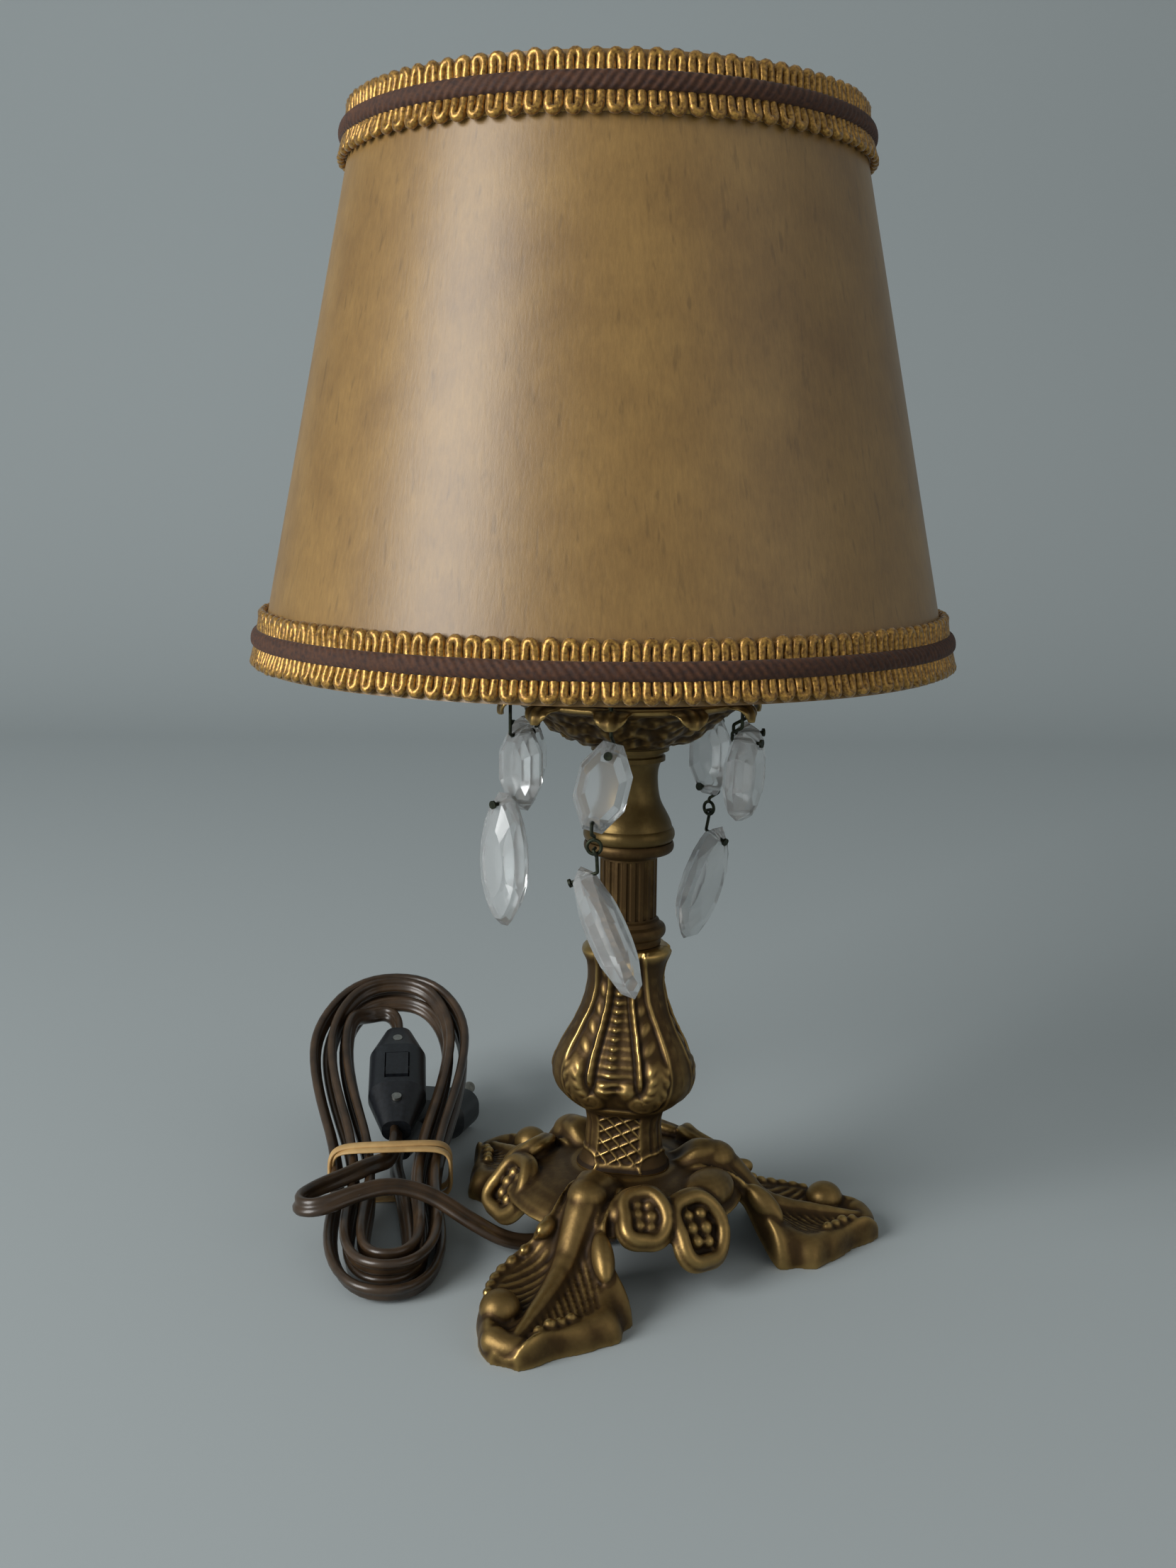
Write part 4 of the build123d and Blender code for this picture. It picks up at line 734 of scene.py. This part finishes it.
front_leg, right_leg, back_leg = -24, 96, 216
small_offset, large_offset = 33, 60
casting = turned_to(0, [hub_shape()])
small_shell = cartouche_shapes((7.0, 7.8), 30.5, 22.6, 45.0)
large_shell = cartouche_shapes((8.4, 9.8), 33.6, 17.8, 32.0)
turned_shell = cartouche_shapes((8.4, 9.0), 32.6, 18.6, 34.0, -24.0)
for azimuth in (front_leg, right_leg, back_leg):
    casting += turned_to(azimuth, one_leg, -1 if azimuth == right_leg else 1)
    casting += turned_to(azimuth + small_offset, small_shell)
    casting += turned_to(azimuth + large_offset, turned_shell if azimuth == back_leg else large_shell)
    # low lumps of leaf work fill the hub's slope between the cartouches and the legs
    casting += turned_to(azimuth + 46, [ball((0, 27.0, 18.8), (8.0, 5.0, 4.4))])
    casting += turned_to(azimuth + 20, [ball((0, 26.0, 21.4), (4.0, 5.0, 3.8))])
    if azimuth != back_leg:
        casting += turned_to(azimuth + 86, [ball((0, 25.5, 22.0), (9.5, 6.5, 5.0))])
verts, faces = fused("foot_clay", casting, 0.5, 3)
foot = make_piece("foot_cast", verts, faces, "lamp_stand", brass)
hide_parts("foot_casting")
rise = mark_wear(foot, 10, 0.35)
print("foot", len(verts), "points, relief from %.2f to %.2f" % (rise.min(), rise.max()))


# %% [markdown]
# The drip pan is a deep bowl of the same casting work. Rough leaf relief covers its underside, and ten
# petals droop over its rim, each with a vein in the middle. The bowl and the petals are fused as the foot
# is. The bowl's rows give a radius and a height; a petal's give its travel from the rim and a size there.

# %% Drip pan
pan_under = [(10.6, 142.0), (11.8, 142.9), (15.6, 143.9), (20.1, 146.5), (24.6, 150.2), (29.6, 153.6)]
pan_over = [(30.6, 154.2), (30.6, 155.2), (30.0, 155.6), (29.0, 155.6), (25.2, 153.0), (20.4, 149.4),
            (16.6, 147.0), (13.4, 146.0), (stem_bore, 146.0)]
petal_count, first_petal = 10, -10
petal_out = [(0, 28.8), (1, 31.4), (2, 33.5), (3, 34.4), (4, 34.3)]
petal_up = [(0, 154.2), (1, 154.5), (2, 154.0), (3, 152.5), (4, 150.6)]
petal_half = [(0, 5.2), (1, 4.9), (2, 4.5), (3, 3.6), (4, 1.4)]


def bowl_shape(steps=420):
    inner_r, reach_r, under_rows, scallop_pitch = 10.6, 19.0, 51, 4.4
    under = [inner_r + reach_r * i / (under_rows - 1) for i in range(under_rows)]
    profile = [(stem_bore, 142.0)] + [(r, flow(pan_under, r)) for r in under] + pan_over
    verts = []
    for row, (r, z) in enumerate(profile):
        relief = smooth_step(12.0, 14.5, r) * smooth_step(29.6, 28.4, r) if row <= under_rows else 0.0
        for a in angles_round(steps):
            x, y = r * math.sin(a), -r * math.cos(a)
            sway = 0.9 * noise.noise(Vector((x, y, 9)) * 0.1)
            lobe = math.cos(petal_count * (a - math.radians(first_petal)) + sway)
            scallop = math.cos(2 * math.pi * r / scallop_pitch + 2.0 * abs(lobe))
            ground = noise.noise(Vector((x, y, 2)) * 0.4) + 0.6 * noise.noise(Vector((x, y, 5)) * 0.9)
            push = relief * (0.45 * lobe + 0.25 * scallop + 0.7 * ground)
            reach = 1 + 0.55 * push / r
            verts.append((x * reach, y * reach, z - 0.84 * push))
    return verts, grid_faces(len(profile), steps, wrap=True, closed=True)


def petal_shape(azimuth, rows=41, columns=25):
    outer, inner = [], []
    for i in range(rows):
        t = 4 * i / (rows - 1)
        r, z, half = flow(petal_out, t), flow(petal_up, t), flow(petal_half, t)
        dr, dz = [flow(rows_of, t + 0.05) - flow(rows_of, t - 0.05) for rows_of in (petal_out, petal_up)]
        size = max(1e-6, math.hypot(dr, dz))
        out, up = -dz / size, dr / size
        for j in range(columns):
            share = -1 + 2 * j / (columns - 1)
            a = math.radians(azimuth) + half * share / r
            thick = 0.75 * math.sqrt(1.05 - share * share)
            vein = 0.3 * bell(share * half, 0.6) - 0.25 * bell(abs(share) * half - 1.7, 0.6)
            for found, lift in ((outer, thick + vein), (inner, -thick)):
                reach = r + out * lift
                found.append((reach * math.sin(a), -reach * math.cos(a), z + up * lift))
    return closed_sheet(outer, inner, rows, columns)


petals = [petal_shape(first_petal + 360 // petal_count * k) for k in range(petal_count)]
verts, faces = fused("pan_clay", [bowl_shape()] + petals, 0.45, 2)
pan = make_piece("drip_pan_cast", verts, faces, "lamp_stand", brass)
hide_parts("drip_pan")
mark_wear(pan, 8, 0.3)
print("drip pan", len(verts), "points")


# %% [markdown]
# Parchment. The shade is oiled paper that imitates skin: warm tan, cloudy over 25 mm, with fine
# fibres and short dark hair lines across them, and a waxed surface that gives a broad soft highlight.
# The fibres are real at about 0.3 mm and drawn at 0.9 mm so that they show in the picture.

# %% Parchment
def parchment():
    finish, tree, surface = new_finish("waxed parchment paper")
    place = node(tree, "ShaderNodeTexCoord")
    cloud = node(tree, "ShaderNodeTexNoise", {"Scale": 1 / (25 * MM), "Detail": 6.0, "Roughness": 0.65},
                 {"Vector": place.outputs["Object"]})
    slant = node(tree, "ShaderNodeMapping", {"Rotation": (0.5, 0.9, 0.3), "Scale": (1.0, 1.0, 0.12)},
                 {"Vector": place.outputs["Object"]})
    fibre = node(tree, "ShaderNodeTexNoise", {"Scale": 1 / (0.9 * MM), "Detail": 4.0, "Roughness": 0.7},
                 {"Vector": slant.outputs["Vector"]})
    cross = node(tree, "ShaderNodeMapping", {"Rotation": (0.2, -0.7, 0.4), "Scale": (1.0, 1.0, 0.1)},
                 {"Vector": place.outputs["Object"]})
    hair = node(tree, "ShaderNodeTexNoise", {"Scale": 1 / (1.6 * MM), "Detail": 2.0},
                {"Vector": cross.outputs["Vector"]})
    ramp = node(tree, "ShaderNodeValToRGB", None, {"Fac": cloud.outputs["Fac"]})
    stops = ramp.color_ramp.elements
    stops[0].position, stops[0].color = 0.3, linear("#785A2E")
    stops[1].position, stops[1].color = 0.72, linear("#91713E")
    fibre_dark = node(tree, "ShaderNodeMapRange",
                      {"From Min": 0.35, "From Max": 0.65, "To Min": 0.88, "To Max": 1.05},
                      {"Value": fibre.outputs["Fac"]})
    tint = node(tree, "ShaderNodeMix", {"data_type": "RGBA", "blend_type": "MULTIPLY", 0: 1.0},
                {6: ramp.outputs["Color"], 7: fibre_dark.outputs["Result"]})
    line = node(tree, "ShaderNodeMapRange",
                {"From Min": 0.62, "From Max": 0.72, "To Min": 1.0, "To Max": 0.8},
                {"Value": hair.outputs["Fac"]})
    marked = node(tree, "ShaderNodeMix", {"data_type": "RGBA", "blend_type": "MULTIPLY", 0: 1.0},
                  {6: tint.outputs[2], 7: line.outputs["Result"]})
    height = node(tree, "ShaderNodeMath", {"operation": "MULTIPLY_ADD", 1: 0.6}, {0: fibre.outputs["Fac"]})
    tree.links.new(cloud.outputs["Fac"], height.inputs[2])
    bump = node(tree, "ShaderNodeBump", {"Strength": 0.35, "Distance": 0.25 * MM},
                {"Height": height.outputs[0]})
    surface.inputs["Roughness"].default_value = 0.42
    surface.inputs["Coat Weight"].default_value = 0.25
    surface.inputs["Coat Roughness"].default_value = 0.38
    tree.links.new(marked.outputs[2], surface.inputs["Base Color"])
    tree.links.new(bump.outputs["Normal"], surface.inputs["Normal"])
    return finish


paper = parchment()
dress(paper, "shade_parchment")
print("parchment on the shade")


# %% [markdown]
# Plain finishes for the small pieces. Cut lead glass is clear, with facets that catch the light, and
# the bulb's blown soda glass is thinner and smoother. Zinc plated steel is a cold grey metal, dulled
# nickel a warmer one, and the pressed brass of the contacts is bright. The switch and the plug are
# moulded, a satin black, and the candle sleeve is a matt ivory plastic. The crystals' wire has
# tarnished nearly black, and the shade's frame is wire with a tan lacquer. Each keeps the values that
# are typical for it, with a fine noise for the grain of moulding or plating.

# %% Small finishes
def plain_finish(name, dark, light, grain_mm, roughness, metallic=0.0, bump_mm=0.02, more=None):
    finish, tree, surface = new_finish(name)
    place = node(tree, "ShaderNodeTexCoord")
    grain = node(tree, "ShaderNodeTexNoise", {"Scale": 1 / (grain_mm * MM), "Detail": 4.0},
                 {"Vector": place.outputs["Object"]})
    ramp = node(tree, "ShaderNodeValToRGB", None, {"Fac": grain.outputs["Fac"]})
    stops = ramp.color_ramp.elements
    stops[0].position, stops[0].color = 0.3, linear(dark)
    stops[1].position, stops[1].color = 0.7, linear(light)
    bump = node(tree, "ShaderNodeBump", {"Strength": 0.3, "Distance": bump_mm * MM},
                {"Height": grain.outputs["Fac"]})
    for socket, value in {"Metallic": metallic, "Roughness": roughness, **(more or {})}.items():
        surface.inputs[socket].default_value = value
    tree.links.new(ramp.outputs["Color"], surface.inputs["Base Color"])
    tree.links.new(bump.outputs["Normal"], surface.inputs["Normal"])
    return finish


zinc = plain_finish("zinc plated steel", "#8E8E88", "#B4B4AE", 1.5, 0.38, 1.0)
black_plastic = plain_finish("black moulded urea plastic", "#0E1013", "#1B1E23", 1.2, 0.38)
ivory_plastic = plain_finish("ivory candle sleeve plastic", "#D8CBA8", "#E6DBBC", 4.0, 0.45)
contact_brass = plain_finish("pressed contact brass", "#9A7636", "#C49A52", 3.0, 0.35, 1.0)
nickel = plain_finish("dulled nickel plate", "#6F6A60", "#9A958A", 2.0, 0.42, 1.0)
pin_wire = plain_finish("tarnished brass wire", "#171B12", "#343A26", 1.0, 0.5, 0.6)
frame_wire = plain_finish("lacquered frame wire", "#B39C6A", "#CDB988", 3.0, 0.5)


def clear_glass(name, ior, roughness, tint, clearness):
    finish, tree, surface = new_finish(name)
    place = node(tree, "ShaderNodeTexCoord")
    waves = node(tree, "ShaderNodeTexNoise", {"Scale": 1 / (5 * MM), "Detail": 1.0},
                 {"Vector": place.outputs["Object"]})
    bump = node(tree, "ShaderNodeBump", {"Strength": 0.06, "Distance": 0.2 * MM},
                {"Height": waves.outputs["Fac"]})
    surface.inputs["Base Color"].default_value = linear(tint)
    surface.inputs["Roughness"].default_value = roughness
    surface.inputs["IOR"].default_value = ior
    surface.inputs["Transmission Weight"].default_value = clearness
    tree.links.new(bump.outputs["Normal"], surface.inputs["Normal"])
    return finish


crystal_glass = clear_glass("cut lead crystal", 1.54, 0.13, "#EEF0F0", 0.8)
bulb_clear = clear_glass("bulb soda glass", 1.5, 0.03, "#FBFBF8", 1.0)
chains = ("left", "front", "right", "side", "back_right", "back_left")
dress(crystal_glass, *["octagon_" + c for c in chains], "drop_left", "drop_front", "drop_back_right")
dress(pin_wire, *["crystal_wire_" + c for c in chains], "drop_hook_front", "drop_hook_back_right")
dress(bulb_clear, "bulb_glass", "filament_mount")
dress(zinc, "tie_tube", "base_washer", "base_nut", "switch_screws")
dress(black_plastic, "cord_bush", "lampholder_body", "plug_body")
dress(black_plastic, "switch_top", "switch_bottom", "switch_rocker")
dress(ivory_plastic, "candle_sleeve")
dress(contact_brass, "lampholder_shell", "lampholder_contact", "bulb_cap")
dress(nickel, "plug_pins")
dress(frame_wire, "shade_top_wire", "shade_bottom_wire", "shade_spider", "bulb_clip")
print("small finishes ready")


# %% [markdown]
# The braid on the shade's rims. A gold gimp cord runs to and fro in a meander, so that its ribs stand
# in pairs joined by loops at the outer edge, and a flat knitted brown cord covers the inner ends of two
# such rows. The gimp is swept with a two-lobed section that turns as it goes, like plied thread. All of
# it lies on the paper's cone: travel runs along the paper from the rim, lift stands off from it.

# %% Braid shapes
rim_bottom, rim_top = (88.6, 164.3), (61.6, 300.0)
paper_lean = math.atan2(rim_bottom[0] - rim_top[0], rim_top[1] - rim_bottom[1])


def on_paper(rim, direction, travel, lift, turn):
    """Point on the cone: from a rim, along the paper by travel, off it by lift, at an angle round it."""
    radius = rim[0] + 0.05 - math.sin(paper_lean) * direction * travel + math.cos(paper_lean) * lift
    z = rim[1] + math.cos(paper_lean) * direction * travel + math.sin(paper_lean) * lift
    return Vector((radius * math.sin(turn) * MM, -radius * math.cos(turn) * MM, z * MM))


def gimp_row(rim, direction, inner, outer, pairs, seed):
    """Meander between two travels: ribs are nearly straight and the turns are round."""
    steps = 18
    reach, middle = (outer - inner) / 2, (outer + inner) / 2
    walk = []
    for k in range(pairs * steps):
        t = 2 * math.pi * k / steps
        pair = k / steps
        sway = 0.22 * noise.noise(Vector((pair * 0.9, seed, 0)))
        turn = 2 * math.pi * (pair - 1.2 * math.sin(2 * t) / (4 * math.pi) + 0.25 * sway) / pairs
        wave = math.sin(t)
        travel = middle + reach * wave * (1.12 - 0.12 * wave * wave) + sway
        lift = 1.0 + 0.28 * wave + 0.12 * noise.noise(Vector((pair * 2.3, seed, 5)))
        walk.append(on_paper(rim, direction, travel, lift, turn))
    spin = angles_round(10)
    ply = [1.12 - 0.17 * math.sin(a) ** 2 for a in spin]
    section = [(f * MM * math.cos(a), f * MM * math.sin(a)) for f, a in zip(ply, spin)]
    return sweep_section(walk, section, lambda i: 0.5 * i, closed=True)


def rim_band(rim, direction, profile, steps, push):
    """Ring with a closed profile of (travel, lift); push(j, k) lifts single points for a knit."""
    verts = []
    for j, turn in enumerate(angles_round(steps)):
        for k, (travel, lift) in enumerate(profile):
            verts.append(on_paper(rim, direction, travel, lift + push(j, k), turn))
    return verts, grid_faces(steps, len(profile), wrap=True, closed=True)


print("braid lies at %.1f degrees" % math.degrees(paper_lean))


# %% [markdown]
# Gold rayon gimp catches the light in small streaks along its plies, so it is half metallic with a
# fine sparkle. The knitted cord is matt, dark red brown, and greyer where the pile is worn.

# %% Braid on both rims
gold_thread = plain_finish("gold rayon gimp", "#5A3A12", "#BE9244", 0.7, 0.32, 0.55, 0.12,
                           {"Sheen Weight": 0.15})
brown_knit = plain_finish("brown knitted cotton cord", "#2B140A", "#4E2C14", 1.1, 0.8, 0.0, 0.2,
                          {"Sheen Weight": 0.08})
knit_rows = 14
cord_middle, cord_half = 7.25, 2.15
backing = [(1.2, 0.0), (1.2, 0.3), (13.3, 0.3), (13.3, 0.0)]
arc = [math.pi * k / (knit_rows - 1) for k in range(knit_rows)]
crown = [(cord_middle - cord_half * math.cos(a), 1.15 + 1.75 * max(0.0, math.sin(a)) ** 0.6) for a in arc]
crown += [(9.4, 0.7), (5.1, 0.7)]


def knit(j, k):
    """Stitches: rows of small rises that lean across the cord, none at its two edges."""
    if 0 < k < knit_rows - 1:
        return 0.2 * math.cos(math.pi * (j / 4 + k // 3 + 0.3 * (k % 3)))
    return 0.0


for name, rim, direction, pairs in (("bottom", rim_bottom, 1, 130), ("top", rim_top, -1, 93)):
    shapes = [gimp_row(rim, direction, 6.4, 1.1, pairs, 3.0),
              gimp_row(rim, direction, 8.1, 13.4, pairs, 8.0),
              rim_band(rim, direction, backing, 240, lambda j, k: 0.0)]
    verts, faces = joined(shapes)
    gimp = make_piece(name + "_gimp", verts, faces, "shade", gold_thread)
    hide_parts(name + "_braid")
    verts, faces = rim_band(rim, direction, crown, pairs * 16, knit)
    cord = make_piece(name + "_knit", verts, faces, "shade", brown_knit)
    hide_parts(name + "_braid_cord")
    print(name, "braid", pairs, "pairs of ribs")


# %% [markdown]
# The flex. It is a flat twin lead, two 2.6 mm cores side by side, so its section is a figure of
# eight, and its sheath is extruded PVC, smooth and a little shiny. It comes out under the foot, crosses
# the tied hank, turns and goes through the rubber band into the switch. The route is a smooth spline
# with few control points; the mesh then follows points read from that spline, because a bevelled curve
# can't have this section.

# %% Flex section
def twin_section(core_mm=2.6, sides=20, web_share=0.36):
    """Two round cores side by side; the web between them reaches out by a share of a core."""
    radius = core_mm * MM
    found = []
    for i in range(sides):
        a = 2 * math.pi * (i + 0.5) / sides
        reach = max(radius * abs(math.sin(a)), web_share * radius)
        found.append((reach * math.cos(a), reach * math.sin(a)))
    return found


flex_sheath = plain_finish("brown PVC flex sheath", "#2A1F14", "#443322", 7.0, 0.34, 0.0, 0.05,
                           {"Coat Weight": 0.15})
dress(flex_sheath, "inner_flex")
print("twin section of", len(twin_section()), "points")


# %% Flex from the foot to the switch
lead_route = [
    (0, 0, 11), (0, 0, 2.8), (-8, -1.5, 2.8), (-20, -5, 3.0), (-31, -9, 4.2), (-42, -7.5, 9.6),
    (-53, -2.5, 15.2), (-64.5, -1.5, 17.9), (-74.5, -7, 17.4), (-83, -12.5, 15.8), (-89, -10.4, 14.8),
    (-90.8, -3.8, 14.2), (-87, 4, 13.8), (-80, 10.6, 14.2), (-73.5, 17, 15), (-67.3, 29.2, 12.1),
    (-68.5, 41.1, 15.7),
]
lead_walk = read_route("lead_route", lead_route)
lead_lean = lambda i: math.radians(20 + 45 * math.sin(0.05 * i))
verts, faces = sweep_section(lead_walk, twin_section(), lead_lean, start_up=Vector((0, 1, 0)))
flex_lead = make_piece("flex_lead_twin", verts, faces, "lamp_stand", flex_sheath)
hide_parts("flex_lead")


# %% [markdown]
# The hank. Loops of flex lie along p, from the near end at the floor to the far end that stands
# up on the plug, and q runs across. Each turn has two points at each end, two shoulders and two
# waists drawn in by the band. The turns step in on the upper layer, drop to the lower one along a
# run, and step out again, with a little unevenness, because nothing ties the far loops.

# %% Flex hank
hank_origin = (-68.5, 27.0)
hank_heading = (-0.0995, 0.995)
points_per_turn, turn_back, layer_drop = 12, 2.0, 6.0
far_slope, waist_z, near_z = 0.4, 10.6, 8.9


def hank_place(p, q, z):
    ax, ay = hank_heading
    return (hank_origin[0] + p * ax + q * ay, hank_origin[1] + p * ay - q * ax, z)


def hank_layer(turn):
    """Steps in from the outermost loop, and the way down from the upper layer."""
    if turn < turn_back:
        return turn_back - turn, 0.0
    if turn < turn_back + 0.5:
        travel = 2 * (turn - turn_back)
        return -0.3 * math.sin(math.pi * travel), layer_drop * travel
    return turn - (turn_back + 0.5), layer_drop


def hank_point(step):
    """One of the twelve points of a turn: far end, two shoulders, waist, near side, near end and back."""
    turn = step / points_per_turn
    inward, down = hank_layer(turn)
    phase = step % points_per_turn
    side = -1 if phase < 6 else 1
    waist = waist_z - down
    near = near_z - down
    sway = 0.7 * math.sin(5.1 * turn)
    if phase in (0, 11):
        reach = 82.5 - 5.0 * inward + 2.0 * math.sin(2.3 * turn)
        return hank_place(reach, side * (11.5 - 2.0 * inward), waist + far_slope * reach + sway)
    if phase in (1, 10):
        return hank_place(62, side * (24.0 - 5.0 * inward), waist + far_slope * 62 + sway)
    if phase in (2, 9):
        return hank_place(40, side * (24.0 - 5.0 * inward), waist + far_slope * 40)
    if phase in (3, 8):
        return hank_place(0, side * (12.6 - 4.6 * inward), waist)
    if phase in (4, 7):
        return hank_place(-40, side * (16.0 - 4.7 * inward), near)
    return hank_place(5.5 * inward - 63.0, side * (8.5 - 2.2 * inward), near)


hank_steps = range(1, 57)
hank_route = [(-73.1, 86.8, 29.5), (-73.9, 94.5, 31.8), (-78.0, 99.5, 33.6), (-84.5, 97.0, 33.0)]
hank_route += [hank_point(step) for step in hank_steps]
hank_route += [(-69.0, 38.3, 6.2), (-68.0, 47.1, 6.7)]
print("hank control points", len(hank_route))


# %% Hang the hank's mesh on its route
hank_walk = read_route("hank_route", hank_route)
hank_lean = lambda i: math.radians(18 + 14 * math.sin(0.11 * i))
verts, faces = sweep_section(hank_walk, twin_section(), hank_lean)
flex_hank = make_piece("flex_hank_twin", verts, faces, "lamp_stand", flex_sheath)
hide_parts("flex_hank")


# %% [markdown]
# The rubber band is wound twice round the waist of the hank, so two flat tan strands lie side by side
# and cross once, on the left. Its closed route makes two rounds of a rounded oblong. Natural rubber is
# matt and lets a little light into its surface.

# %% Rubber band
band_rubber = plain_finish("tan natural rubber", "#A98350", "#CBA66E", 5.0, 0.55, 0.0, 0.06,
                           {"Subsurface Weight": 0.05})
band_half, band_low, band_high, band_steps = 17.6, 1.2, 16.8, 176
band_walk = []
for k in range(band_steps):
    t = 4 * math.pi * k / band_steps
    c, s = math.cos(t), math.sin(t)
    lift = 0.45 * math.sin(t / 2)
    q = (band_half + lift) * math.copysign(abs(c) ** 0.42, c)
    z = (band_low + band_high) / 2 + ((band_high - band_low) / 2 + lift) * math.copysign(abs(s) ** 0.5, s)
    spot = hank_place(2.4 * math.cos(t / 2 + 0.2) + 0.5 * math.sin(3 * t), q, z)
    band_walk.append(Vector(from_stem(*spot)))
flat = [(1.8 * MM * math.cos(a), 0.62 * MM * math.sin(a)) for a in angles_round(12)]


def band_strand(walk, section):
    """Flat strand whose wide side faces away from the middle of the waist."""
    along_hank = Vector((hank_heading[0], hank_heading[1], 0))
    verts, aims = [], tangents(walk, True)
    for spot, aim in zip(walk, aims):
        wide = (along_hank - aim * along_hank.dot(aim)).normalized()
        out = aim.cross(wide)
        verts += [spot + wide * x + out * y for x, y in section]
    return verts, grid_faces(len(walk), len(section), wrap=True, closed=True)


verts, faces = band_strand(band_walk, flat)
band = make_piece("band_twice_round", verts, faces, "lamp_stand", band_rubber)
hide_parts("rubber_band")
print("rubber band", len(verts), "points")
